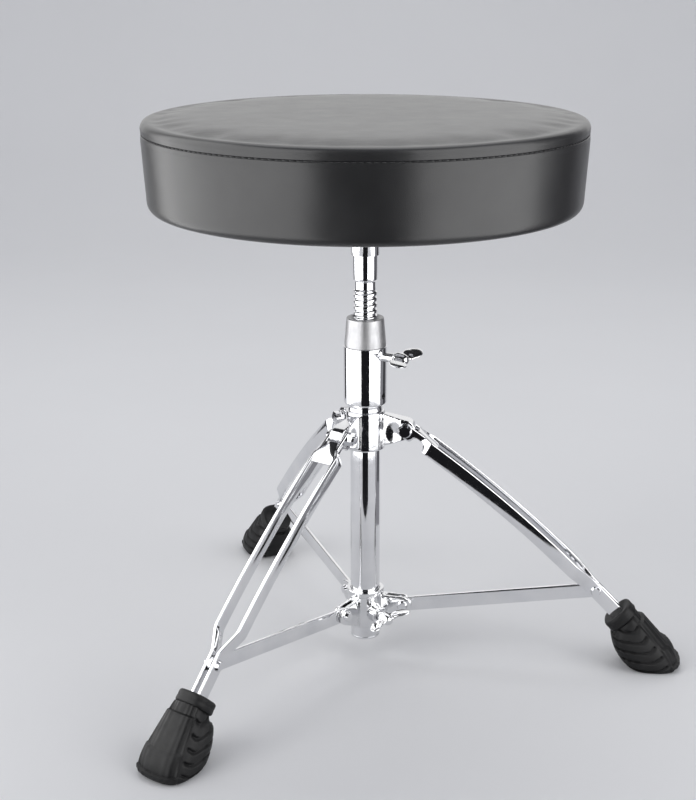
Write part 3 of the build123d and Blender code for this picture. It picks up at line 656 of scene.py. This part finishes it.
def bow_line():
    """The rail's middle line, as place and direction at a distance, and its length."""
    start = own_plane("leg_1_fold")
    chord = Vector(STAY_RIVET) - start
    radius = (chord.length**2 / 4 + RAIL_BOW**2) / (2 * RAIL_BOW)
    half = asin(chord.length / 2 / radius)
    along = chord.normalized()
    out = Vector((-along.y, along.x))
    centre = start + chord / 2 - out * (radius - RAIL_BOW)
    length = 2 * half * radius

    def at(distance):
        turn = -half + min(max(distance, 0), length) / radius
        place = centre + radius * (out * cos(turn) + along * sin(turn))
        direction = along * cos(turn) - out * sin(turn)
        beyond = min(distance, 0) + max(distance - length, 0)
        return place + direction * beyond, direction

    return at, length


BOW, BOW_LENGTH = bow_line()


def soft_ramp(value, start, end):
    """A straight rise from 0 to 1 whose two bends are eased."""
    shares = [
        min(max((value + shift * BEND_EASE - start) / (end - start), 0), 1)
        for shift in (-1, -0.5, 0, 0.5, 1)
    ]
    return sum(shares) / len(shares)


def rail_side(distance):
    """How far a rail's middle stands off the leg's own plane."""
    parted = soft_ramp(distance, *JOGGLE_R) * (RAIL_APART - RAIL_AT_HUB)
    pinched = soft_ramp(distance, *PINCH_R) * (RAIL_APART - RAIL_AT_TAIL)
    return RAIL_AT_HUB + parted - pinched


def neck_low(distance):
    """A rail's lower edge, below its middle: relieved at the neck."""
    into = smoothstep(distance, NECK_SPAN[0] - 1 * MM, NECK_SPAN[0] + 2 * MM)
    out = smoothstep(distance, NECK_SPAN[1] - 2.5 * MM, NECK_SPAN[1] + 1 * MM)
    return -RAIL_DEPTH / 2 + (RAIL_DEPTH - NECK_DEPTH) * into * (1 - out)


def stations(length, radius, step):
    """Distances along a strap, closer together round its two ends."""
    turns = [radians(90 * k / 8) for k in range(8)]
    count = int(length / step)
    middle = [length * k / count for k in range(count + 1)]
    return (
        [-radius * cos(turn) for turn in turns] + middle
        + [length + radius * sin(turn) for turn in turns[1:]] + [length + radius]
    )


def strap(name, number, at, length, depth, thickness, side_of, low_of, step):
    """A flat strap with round ends, swept along a line in the leg's own plane."""
    outward, sideways = leg_frame(number)
    radius = depth / 2
    rings = []
    for distance in stations(length, radius, step):
        over = max(-distance, distance - length, 0)
        reach = sqrt(max(radius**2 - over**2, (0.08 * radius) ** 2))
        place, direction = at(distance)
        normal = Vector((-direction.y, direction.x))
        side = side_of(place.x)
        ring = []
        low = max(-reach, low_of(distance))
        for across, offset in rounded_section(low, reach, thickness / 2, STRAP_CORNER):
            point = place + normal * across
            ring.append(outward * point.x + UP * point.y + sideways * (side + offset))
        rings.append(ring)
    return add_piece(name, skin(name, rings))


def make_rails(number):
    for side, word in ((1, "left"), (-1, "right")):
        node = f"leg_{number}_rail_{word}"
        rail = strap(
            f"{node}_strap", number, BOW, BOW_LENGTH + RAIL_TAIL, RAIL_DEPTH,
            RAIL_THICKNESS, lambda r: side * rail_side(r), neck_low, RAIL_STEP,
        )
        stand_in(rail, node)


def make_stay(number):
    start = own_plane(f"stay_{number}_swing")
    run = Vector(STAY_RIVET) - start
    direction = run.normalized()
    node = f"stay_{number}"
    stay = strap(
        f"{node}_strap", number, lambda d: (start + direction * d, direction),
        run.length, STAY_DEPTH, STAY_THICKNESS, lambda r: 0, lambda d: -STAY_DEPTH,
        STAY_STEP,
    )
    stand_in(stay, node)


# ================================================================ boots
def between(table, share):
    """Values read from evenly spaced rows, along a smooth curve through them."""
    place = min(max(share, 0), 1) * (len(table) - 1)
    row = min(int(place), len(table) - 2)
    part = place - row
    before = table[max(row - 1, 0)]
    after = table[min(row + 2, len(table) - 1)]
    values = []
    for a, b, c, d in zip(before, table[row], table[row + 1], after):
        bend = 0.5 * ((c - a) + (2 * a - 5 * b + 4 * c - d) * part)
        cube = 0.5 * (3 * (b - c) + d - a) * part**3
        values.append(b + bend * part + cube)
    return values


def boot_guides():
    """Rows of (front r, front z, back r, back z, half width) from collar to sole."""
    rows = []
    for past, grow in ((COLLAR_LENGTH, -2.4 * MM), (COLLAR_LENGTH + 3 * MM, -0.6 * MM)):
        place, direction = BOW(BOW_LENGTH + COLLAR_POINT + past)
        normal = Vector((-direction.y, direction.x))
        reach = COLLAR_HALF + grow
        front, back = place + normal * reach, place - normal * (reach + 1 * MM)
        rows.append((front.x, front.y, back.x, back.y, reach + 0.6 * MM))
    for height, middle, half, width in BOOT_LEVELS:
        rows.append((middle + half, height, middle - half, height, width))
    return rows


def plain(turn, ahead, height):
    """No relief, at any place on a boot's ring."""
    return 0


def oval(front, back, width, axes, swell=plain):
    """A ring between a front and a back point; swell gives its relief at each angle."""
    outward, sideways = axes
    middle = (front + back) / 2
    reach = (front - back) / 2
    ring = []
    for k in range(BOOT_SEGMENTS):
        turn = 2 * pi * k / BOOT_SEGMENTS
        ahead = abs(cos(turn)) ** (2 / BOOT_SQUARENESS) * (1 if cos(turn) >= 0 else -1)
        aside = abs(sin(turn)) ** (2 / BOOT_SQUARENESS) * (1 if sin(turn) >= 0 else -1)
        flat = middle + reach * ahead
        lift = swell(turn, ahead, flat.y)
        point = flat + reach * ahead * lift / reach.length
        side = width * aside * (1 + lift / width)
        ring.append(outward * point.x + UP * point.y + sideways * side)
    return ring


def boot_relief(share):
    """The boot's plates, ridges and arc grooves at a share of the way down."""

    def swell(turn, ahead, height):
        off = abs((turn + pi) % (2 * pi) - pi)
        plate = share * BOOT_TIERS % 1
        panel = 1 - smoothstep(off, radians(46), radians(50))
        step = (0.5 - plate) * 2.6 * MM * smoothstep(share, 0, 0.05)
        ribs = 0.16 * MM * cos(off * 24)
        near = (off - radians(51)) / radians(4.5)
        ridge = (1.1 + 0.9 * (0.5 - plate)) * MM * max(0, 1 - near * near)
        side = smoothstep(off, radians(58), radians(66))
        side *= 1 - smoothstep(off, radians(150), radians(172))
        level = height - 7 * MM * smoothstep(ahead, 0.1, 0.95) - 2 * MM * ahead * ahead
        gap = abs((level / ARC_SPACING + 0.2) % 1 - 0.5) * ARC_SPACING
        groove = -2 * MM * (1 - smoothstep(gap, 0.4 * MM, 1.5 * MM))
        groove *= side * smoothstep(share, 0.03, 0.1)
        return (panel * (step + ribs) + ridge + groove) * (1 - smoothstep(share, 0.92, 1))

    return swell


def make_boot(number):
    axes = leg_frame(number)
    rings = []
    for past, share in COLLAR_SHAPE:
        place, direction = BOW(BOW_LENGTH + COLLAR_POINT + past * MM)
        normal = Vector((-direction.y, direction.x)) * COLLAR_HALF * share
        rings.append(oval(place + normal, place - normal, COLLAR_HALF * share, axes))
    rows = boot_guides()
    for level in range(BOOT_RINGS + 1):
        share = level / BOOT_RINGS
        fx, fz, bx, bz, width = between(rows, share)
        rings.append(oval(Vector((fx, fz)), Vector((bx, bz)), width, axes, boot_relief(share)))
    fx, fz, bx, bz, width = rows[-1]
    middle = Vector((fx + bx, fz + bz)) / 2
    reach = Vector((fx - bx, fz - bz)) / 2
    for rise, share in TREAD_SHAPE:
        place = middle + Vector((0, rise * MM - middle.y))
        rings.append(oval(place + reach * share, place - reach * share, width * share, axes))
    name = f"leg_{number}_boot_moulding"
    stand_in(add_piece(name, skin(name, rings, angle=50)), f"leg_{number}_boot")


# ================================================================ column
def make_column():
    low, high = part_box("base_tube")
    edge = TUBE_EDGE
    turn_for(
        "base_tube",
        [
            (high.x - TUBE_WALL, low.z, edge),
            (high.x, low.z, edge),
            (high.x, high.z, edge),
            (high.x - TUBE_WALL, high.z, edge),
        ],
        looped=True,
    )
    bore = high.x + 0.05 * MM
    low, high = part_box("upper_sleeve")
    turn_for(
        "upper_sleeve",
        [
            (bore, low.z, edge),
            (high.x, low.z, SLEEVE_ROUND),
            (high.x, high.z, 0.7 * MM),
            (high.x - RECESS_WALL, high.z, 0.2 * MM),
            (high.x - RECESS_WALL, high.z - RECESS_DEPTH, 0),
            (bore, high.z - RECESS_DEPTH, edge),
        ],
        looped=True,
    )
    drill(bpy.data.objects["upper_sleeve_turned"], "sleeve_set_screw", SET_SCREW_HOLE_R)
    low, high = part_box("neck_ring")
    turn_for(
        "neck_ring",
        [
            (bore, low.z, edge),
            (high.x, low.z, 1.2 * MM),
            (high.x - 0.5 * MM, (low.z + high.z) / 2, 1.5 * MM),
            (high.x, high.z, 1.2 * MM),
            (bore, high.z, edge),
        ],
        looped=True,
    )
    low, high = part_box("spindle_nut")
    seat_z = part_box("upper_sleeve")[1].z
    turn_for(
        "spindle_nut",
        [
            (NUT_BORE_R, low.z, edge),
            (NUT_BORE_R + NUT_SPIGOT_WALL, low.z, edge),
            (NUT_BORE_R + NUT_SPIGOT_WALL, seat_z, 0),
            (high.x, seat_z, 0.5 * MM),
            (high.x - 0.15 * MM, seat_z + 1.6 * MM, 0.6 * MM),
            (NUT_TOP_R, high.z, 0.9 * MM),
            (NUT_BORE_R + NUT_COUNTERSINK, high.z, 0.2 * MM),
            (NUT_BORE_R, high.z - NUT_COUNTERSINK, 0.3 * MM),
        ],
        looped=True,
    )
    low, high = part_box("tube_end_cap")
    tube_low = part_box("base_tube")[0].z
    spigot = high.x - TUBE_WALL - 0.1 * MM
    turn_for(
        "tube_end_cap",
        [
            (high.x * 0.4, low.z, 0),
            (high.x, low.z, 1.7 * MM),
            (high.x, tube_low, 0.2 * MM),
            (spigot, tube_low, 0),
            (spigot, high.z, 0.8 * MM),
            (spigot * 0.4, high.z, 0),
        ],
    )


def screw_radius(height, turn):
    """The spindle's radius: shank, thread, relief, then the plain length."""
    if height < THREAD_SPAN[0]:
        return SHANK_R
    root = THREAD_R - THREAD_DEPTH
    if height > THREAD_SPAN[1]:
        return root + (PLAIN_R - root) * smoothstep(height, RELIEF_TOP - 2.2 * MM, RELIEF_TOP)
    phase = ((height - THREAD_SPAN[0]) / THREAD_PITCH - turn / (2 * pi)) % 1
    into = smoothstep(phase, 0.36, 0.62)
    out = smoothstep(phase, 0.78, 1.0)
    ends = smoothstep(height, THREAD_SPAN[0], THREAD_SPAN[0] + 2 * MM)
    ends *= 1 - smoothstep(height, THREAD_SPAN[1] - 2 * MM, THREAD_SPAN[1])
    return root + THREAD_DEPTH * (1 - into + out) * ends


def make_spindle():
    low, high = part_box("spindle")
    segments = 60
    step = 0.45 * MM
    top = high.z - 1 * MM
    heights = [low.z + (THREAD_SPAN[0] - low.z) * k / 4 for k in range(4)]
    heights.append(THREAD_SPAN[0] - 0.02 * MM)
    count = int((RELIEF_TOP - THREAD_SPAN[0]) / step)
    heights += [
        THREAD_SPAN[0] + (RELIEF_TOP - THREAD_SPAN[0]) * k / count for k in range(count + 1)
    ]
    heights += [RELIEF_TOP + (top - RELIEF_TOP) * k / 6 for k in range(1, 7)]
    rings = []
    for height in heights:
        ring = []
        for k in range(segments):
            turn = 2 * pi * k / segments
            radius = screw_radius(height, turn)
            ring.append(Vector((radius * cos(turn), radius * sin(turn), height)))
        rings.append(ring)
    rings += turned([Vector((PLAIN_R - 1 * MM, high.z))], segments)
    name = "spindle_screw"
    stand_in(add_piece(name, skin(name, rings, angle=55)), "spindle")


# ================================================================ wing bolts
def wing_stem(start, reach, origin, out, rise, flat):
    """Rings of the bolt's shank and the round boss at its end."""
    stem = (
        (start, 3.9), (reach - 2 * MM, 3.9), (reach - 0.6 * MM, 5.2), (reach + 1 * MM, 5.7),
        (reach + 5 * MM, 5.2), (reach + 8.5 * MM, 4.4), (reach + 10.3 * MM, 3.2),
        (reach + 11 * MM, 1.2),
    )
    across = [rise * cos(2 * pi * k / 32) + flat * sin(2 * pi * k / 32) for k in range(32)]
    return [[origin + out * along + way * radius * MM for way in across] for along, radius in stem]


def wing_blade(way, wing, origin, out, rise, flat):
    """Rings of one blade, from the boss to its rounded tip."""
    reach = wing["reach"]
    first = Vector((reach + 3.6 * MM, 0))
    pull = Vector((reach + 4.6 * MM, 10 * MM))
    tip = Vector((reach + WING_SWEEP + 7.4 * MM, WING_SPAN + 1 * MM))
    rings = []
    for step in range(WING_STEPS + 1):
        share = step / WING_STEPS
        line = first * (1 - share) ** 2 + pull * 2 * share * (1 - share) + tip * share**2
        slope = ((pull - first) * (1 - share) + (tip - pull) * share).normalized()
        round_off = sqrt(max(1 - max((share - 0.66) / 0.34, 0) ** 2.2, 0.004))
        hollow = smoothstep(share, 0.25, 0.6) * 1.4 * MM
        centre = origin + out * line.x + rise * line.y * way + flat * hollow
        lean = (out * slope.y - rise * slope.x * way).normalized()
        tilt = radians(wing["tilt"]) * smoothstep(share, 0.1, 0.5)
        lean = lean * cos(tilt) - flat * sin(tilt)
        broad = WING_ROOT + (wing["breadth"] - WING_ROOT) * smoothstep(share, 0.1, 0.5)
        half = broad * round_off
        thick = (3.0 - 1.5 * smoothstep(share, 0, 0.7)) * MM * round_off
        turns = [2 * pi * k / SHELL_SEGMENTS for k in range(SHELL_SEGMENTS)]
        rings.append([centre + lean * half * cos(t) + flat * thick * sin(t) for t in turns])
    return rings


def make_wing_bolt(node, wing):
    azimuth = radians(wing["azimuth"])
    roll = radians(wing["roll"])
    out = Vector((cos(azimuth), sin(azimuth), 0))
    tangent = UP.cross(out)
    rise = UP * cos(roll) + tangent * sin(roll)
    flat = out.cross(rise)
    origin = UP * wing["height"]
    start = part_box("base_tube")[1].x + wing["inset"]
    shells = [wing_stem(start, wing["reach"], origin, out, rise, flat)]
    shells += [wing_blade(way, wing, origin, out, rise, flat) for way in (1, -1)]
    name = f"{node}_forging"
    piece = melted(add_piece(name, capped_shells(name, shells)), 0.5 * MM, 6)
    stand_in(piece, node, material=CAST_CHROME)


# ================================================================ seat
def seat_sizes():
    low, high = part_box("cover_side_band")
    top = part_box("cover_top_panel")
    return low.z, top[1].z, high.x, top[0].z


SEAT_LOW, SEAT_HIGH, SEAT_R, SEAM_Z = seat_sizes()
SEAT_FOOT_R = SEAT_R - 3.5 * MM


def simulated_swell():
    """How the stuffed seat's surface moves when its cover is drawn over the foam."""
    inset = SWELL_INSET
    profile = [
        (FOAM_HOLE_R, SEAT_LOW + inset, 0),
        (SEAT_FOOT_R - inset, SEAT_LOW + inset, SEAT_FOOT),
        (SEAT_R - inset, SEAT_HIGH - inset, SEAT_EDGE),
        (FOAM_HOLE_R, SEAT_HIGH - inset, 0),
    ]
    pad = add_piece("seat_swell", lathe("seat_swell", profile, 120))
    remesh = pad.modifiers.new("voxels", "REMESH")
    remesh.mode = "VOXEL"
    remesh.voxel_size = SWELL_VOXEL
    applied(pad)
    rest = [vertex.co.copy() for vertex in pad.data.vertices]
    pins = pad.vertex_groups.new(name="held")
    seam_r = SEAT_R - inset
    for index, place in enumerate(rest):
        near_seam = hypot(hypot(place.x, place.y) - seam_r, place.z - SEAM_Z) < 5 * MM
        if place.z < SEAT_LOW + 9 * MM or near_seam:
            pins.add([index], 1.0, "REPLACE")
    cloth = pad.modifiers.new("cover", "CLOTH")
    settings = cloth.settings
    settings.quality = 5
    settings.mass = 0.4
    settings.tension_stiffness = 40
    settings.compression_stiffness = 40
    settings.shear_stiffness = 20
    settings.bending_stiffness = 6
    settings.use_pressure = True
    settings.uniform_pressure_force = 4
    settings.vertex_group_mass = "held"
    settings.effector_weights.gravity = 0
    cloth.collision_settings.use_collision = False
    for number in range(CLOTH_FRAMES):
        bpy.context.scene.frame_set(number + 1)
    graph = bpy.context.evaluated_depsgraph_get()
    moved = [vertex.co.copy() for vertex in pad.evaluated_get(graph).data.vertices]
    bpy.context.scene.frame_set(1)
    bpy.data.objects.remove(pad)
    return rest, [b - a for a, b in zip(rest, moved)]


def swell_reader():
    """A function that gives the simulated movement near a place."""
    rest, moves = simulated_swell()
    tree = kdtree.KDTree(len(rest))
    for index, place in enumerate(rest):
        tree.insert(place, index)
    tree.balance()

    def read(place):
        total, weights = Vector((0, 0, 0)), 0
        for found in tree.find_n(place, 8):
            index, distance = found[1:]
            weight = 1 / (distance + 2 * MM) ** 2
            total += moves[index] * weight
            weights += weight
        return total / weights

    return read


def capped(value, limit):
    return limit * tanh(value / limit)


def seat_line():
    """The cover's half section, from its hem round the outside to near the middle."""
    return softened(
        [
            (HEM_R - 8 * MM, SEAT_LOW + HEM, 0),
            (HEM_R, SEAT_LOW + HEM, 0),
            (HEM_R, SEAT_LOW, 0.4 * MM),
            (SEAT_FOOT_R, SEAT_LOW, SEAT_FOOT),
            (SEAT_R, SEAM_Z - 3 * MM, 12 * MM),
            (SEAT_R, SEAT_HIGH, SEAT_EDGE + 1 * MM),
            (4 * MM, SEAT_HIGH, 0),
        ],
        10,
    )


def resampled(line, step):
    """The line's points at even steps no longer than step."""
    points = [line[0]]
    for a, b in zip(line, line[1:]):
        count = max(1, int((b - a).length / step + 0.999))
        points += [a.lerp(b, k / count) for k in range(1, count + 1)]
    return points


def seam_shape(height, radius):
    """How far the cover is drawn in at the seam."""
    if radius < SEAT_R - 10 * MM:
        return 0
    off = (height - SEAM_Z) / MM
    groove = -0.8 * MM * max(0, 1 - (off / 0.9) ** 2)
    pull = -0.35 * MM * max(0, 1 - (off / 4.5) ** 2)
    return groove + pull


def seat_place(point, turn, read):
    """A place on the finished cover from its half section and the angle round."""
    outward = Vector((cos(turn), sin(turn), 0))
    place = outward * point.x + UP * point.y
    move = read(place)
    side = smoothstep(point.x, SEAT_R - 14 * MM, SEAT_R - 4 * MM)
    under = 1 - smoothstep(point.y, SEAT_LOW, SEAT_LOW + 14 * MM)
    topside = (1 - side) * (0 if point.y < SEAM_Z else 1)
    bulge = capped(move.dot(outward), 2.5 * MM) * side * (1 - under)
    crown = capped(move.z, 3 * MM) * topside
    ripple = noise.noise(Vector((cos(turn) * 2.2, sin(turn) * 2.2, point.y * 14)))
    ripple += 0.5 * noise.noise(Vector((cos(turn) * 6, sin(turn) * 6, point.y * 30 + 7)))
    bulge += ripple * 0.5 * MM * side * (1 - under)
    dimple = noise.noise(place * 9) * 0.5 * MM * topside
    radius = point.x + bulge + seam_shape(point.y, point.x)
    return outward * radius + UP * (point.y + crown + dimple)


def make_cover():
    read = swell_reader()
    outside = resampled(seat_line(), 2.4 * MM)
    fine = []
    for a, b in zip(outside, outside[1:]):
        close = abs((a.y + b.y) / 2 - SEAM_Z) < 6 * MM and a.x > SEAT_R - 10 * MM
        pieces = 6 if close else 1
        fine += [a.lerp(b, k / pieces) for k in range(pieces)]
    fine.append(outside[-1])
    angles = [2 * pi * k / SEAT_SEGMENTS for k in range(SEAT_SEGMENTS)]
    rings = [[seat_place(point, turn, read) for turn in angles] for point in fine]
    name = "seat_cover"
    piece = add_piece(name, skin(name, rings, angle=70))
    stand_in(piece, "cover_side_band", "cover_top_panel")

    def place_on(height, turn):
        radius = SEAT_R + 0.15 * MM
        return seat_place(Vector((radius, height)), turn, read)

    return place_on


def capsule(start, end, out):
    """Rings of a short rounded thread between two places."""
    along = end - start
    across = along.cross(out).normalized()
    turns = [2 * pi * k / 8 for k in range(8)]
    rings = []
    for share, part in ((0, 0.35), (0.08, 0.8), (0.25, 1), (0.75, 1), (0.92, 0.8), (1, 0.35)):
        middle = start + along * share
        rings.append(
            [middle + (out * cos(t) + across * sin(t)) * STITCH_R * part for t in turns]
        )
    return rings


def make_stitches(place_on):
    """A row of lockstitches below the seam, each sunk a little into the cover."""
    height = SEAM_Z - STITCH_DROP
    half = 2 * pi / STITCHES * STITCH_SHARE
    shells = []
    for number in range(STITCHES):
        middle = 2 * pi * number / STITCHES
        ends = [place_on(height, middle + way * half) for way in (-1, 1)]
        shells.append(capsule(*ends, Vector((cos(middle), sin(middle), 0))))
    mesh = capped_shells("seat_stitches", shells)
    mesh.materials.append(THREAD)
    piece = add_piece("seat_stitches", mesh)
    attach(piece, BODY_OF["cover_side_band"])


def make_foam():
    low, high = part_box("seat_foam")
    piece = turn_for(
        "seat_foam",
        [
            (FOAM_HOLE_R, low.z, 0),
            (high.x - 2 * MM, low.z, 4 * MM),
            (high.x, (low.z + high.z) / 2, 20 * MM),
            (high.x, high.z - 2 * MM, 7 * MM),
            (FOAM_HOLE_R, high.z, 0),
        ],
        segments=160,
    )


def make_dust_cover():
    low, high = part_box("dust_cover")
    radius = high.x
    rings = []
    for ring_number in range(24):
        share = (ring_number + 0.4) / 23.4
        ring = []
        for k in range(120):
            turn = 2 * pi * k / 120
            place = Vector((cos(turn), sin(turn), 0)) * radius * share
            wave = noise.noise(place * 26) * 0.22 * MM + noise.noise(place * 60) * 0.1 * MM
            ring.append(place + UP * (low.z + 0.35 * MM + wave * (1 - share**4)))
        rings.append(ring)
    vertices = [point for ring in rings for point in ring]
    faces = quads(rings)
    faces.append(tuple(range(120)))
    mesh = bpy.data.meshes.new("dust_cover_cloth")
    mesh.from_pydata(vertices, [], faces)
    piece = add_piece("dust_cover_cloth", shaded(mesh))
    solid = piece.modifiers.new("thickness", "SOLIDIFY")
    solid.thickness = 0.4 * MM
    solid.offset = 1
    applied(piece)
    shaded(piece.data)
    stand_in(piece, "dust_cover")


# ================================================================ kept CAD nodes
def finish_node(node):
    """A CAD node that stays takes its slot's finish."""
    for slot in NODES[node].material_slots:
        slot.link = "OBJECT"
        slot.material = BLACK_OXIDE if node == "sleeve_set_screw" else FINISH[SLOT_OF[node]]


# ================================================================ studio
def card(name, points, material):
    """A card that only shows in reflections; points are rows of equal length."""
    count = len(points[0])
    vertices = [point for row in points for point in row]
    faces = []
    for row in range(len(points) - 1):
        for k in range(count - 1):
            here = row * count + k
            faces.append((here, here + 1, here + count + 1, here + count))
    mesh = bpy.data.meshes.new(name)
    mesh.from_pydata(vertices, [], faces)
    mesh.materials.append(material)
    mesh.shade_smooth()
    piece = add_piece(name, mesh)
    piece.visible_camera = False
    piece.visible_diffuse = False
    piece.visible_shadow = False
    piece.visible_transmission = False


def fan(start, end, steps):
    """Evenly spaced angles from the camera's side, in radians."""
    return [radians(start + (end - start) * k / steps) for k in range(steps + 1)]


def bent_wall(name, start, end, radius, top, material):
    """An upright card from the floor, bent round the column between two angles."""
    turns = fan(start, end, 16)
    rows = [[Vector((radius * sin(t), -radius * cos(t), z)) for t in turns] for z in (0, top)]
    card(name, rows, material)


def dome_patch(name, start, end, low, high, radius, material):
    """A piece of a sphere round the column's middle, between angles and elevations."""
    rows = []
    for rise in fan(low, high, 14):
        flat = radius * cos(rise)
        height = 0.25 + radius * sin(rise)
        rows.append(
            [Vector((flat * sin(t), -flat * cos(t), height)) for t in fan(start, end, 14)]
        )
    card(name, rows, material)


def floor_arc(distance, half, middle=0, lift=1 * MM):
    """Points on an arc just above the floor, about an angle from the camera's side."""
    turns = [radians(middle + half * k / 4) for k in range(-4, 5)]
    return [Vector((distance * sin(t), -distance * cos(t), lift)) for t in turns]


def make_floor():
    profile = softened([(-4, 0, 0), (2.6, 0, 1.0), (2.6, 3.2, 0)], 16)
    rows = [[Vector((x, p.x, p.y)) for x in (-5, 5)] for p in profile]
    faces = [(2 * k, 2 * k + 1, 2 * k + 3, 2 * k + 2) for k in range(len(rows) - 1)]
    sweep = bpy.data.meshes.new("floor")
    sweep.from_pydata([point for row in rows for point in row], [], faces)
    sweep.materials.append(paper("pale_paper", 0.8))
    sweep.shade_smooth()
    add_piece("floor", sweep)


def make_flags():
    """Black, grey and white cards: angles are from the camera's side, in degrees."""
    black = glow("black_flag", (0.012, 0.012, 0.014), 1)
    dark = glow("dark_flag", (0.05, 0.05, 0.055), 1)
    grey = glow("grey_flag", (0.26, 0.26, 0.28), 1)
    soft = glow("softbox", (1, 1, 1), 3)
    half = 22
    near, full, far = 0.325, 0.395, 2.6
    rows = []
    for share in (0, 0.3, 0.6, 0.85, 1):
        rows.append(floor_arc(near + (full - near) * share, half * sqrt(share) or 0.5))
    rows.append(floor_arc(far, half))
    card("front_floor_flag", rows, black)
    bent_wall("front_flag", -half, half, far, 3, black)
    dome_patch("upper_flag", -50, 50, 23, 62, 1.9, black)
    dome_patch("back_glow", 125, 235, 1, 50, 2.3, glow("back_panel", (1, 1, 1), 1.05))
    bent_wall("right_softbox", half, 84, 0.6, 1.2, soft)
    bent_wall("left_softbox", -115, -half, 0.6, 1.2, soft)
    for name, start, end, tone, near, far, lift in (
        ("right_flag", 85, 140, grey, 0.3, 1.6, 1 * MM),
        ("right_core", 108, 128, dark, 0.45, 1.59, 1.5 * MM),
        ("left_flag", -138, -122, dark, 0.68, 1.59, 1.5 * MM),
    ):
        rows = [floor_arc(r, (end - start) / 2, (start + end) / 2, lift) for r in (near, 1.6)]
        card(f"{name}_floor", rows, tone)
        bent_wall(name, start, end, far, 1.7, tone)


def make_lights():
    for name, place, size, power in (
        ("overhead", (0, 0.9, 2.2), 1.6, 12),
        ("left_light", (-1.7, -1.0, 1.5), 1.4, 14),
        ("right_light", (1.7, -0.8, 1.5), 1.4, 11),
    ):
        light = bpy.data.lights.new(name, "AREA")
        light.shape = "SQUARE"
        light.size = size
        light.energy = power
        lamp = bpy.data.objects.new(name, light)
        lamp.location = place
        lamp.visible_glossy = name == "overhead"
        aim = Vector((0, 0, 0.2)) - lamp.location
        lamp.rotation_euler = aim.to_track_quat("-Z", "Y").to_euler()
        bpy.context.scene.collection.objects.link(lamp)
    world = bpy.data.worlds.new("studio")
    world.use_nodes = True
    world.node_tree.nodes["Background"].inputs["Color"].default_value = (0.9, 0.92, 1, 1)
    world.node_tree.nodes["Background"].inputs["Strength"].default_value = 0.5
    bpy.context.scene.world = world
    bpy.context.scene.view_settings.view_transform = "Standard"


def make_camera():
    lens = bpy.data.cameras.new("camera")
    lens.lens = LENS
    lens.shift_x = SHIFT
    lens.clip_start = 0.02
    camera = bpy.data.objects.new("camera", lens)
    camera.location = CAMERA_AT
    camera.rotation_euler = (radians(90 - CAMERA_PITCH), 0, 0)
    bpy.context.scene.collection.objects.link(camera)
    bpy.context.scene.camera = camera


# ================================================================ everything
make_camera()
make_floor()
make_flags()
make_lights()
for name in NODES:
    finish_node(name)
make_column()
make_spindle()
bracket = cast("leg_bracket")
draw_in_webs(bracket)
pocket_webs(bracket)
cast("stay_hub")
for number in LEGS:
    make_rails(number)
    make_stay(number)
    make_boot(number)
    bevelled(f"leg_{number}_bridge", 0.4 * MM)
for node, wing in WING_BOLTS.items():
    make_wing_bolt(node, wing)
bevelled("seat_bracket", 0.5 * MM)
make_stitches(make_cover())
make_foam()
make_dust_cover()
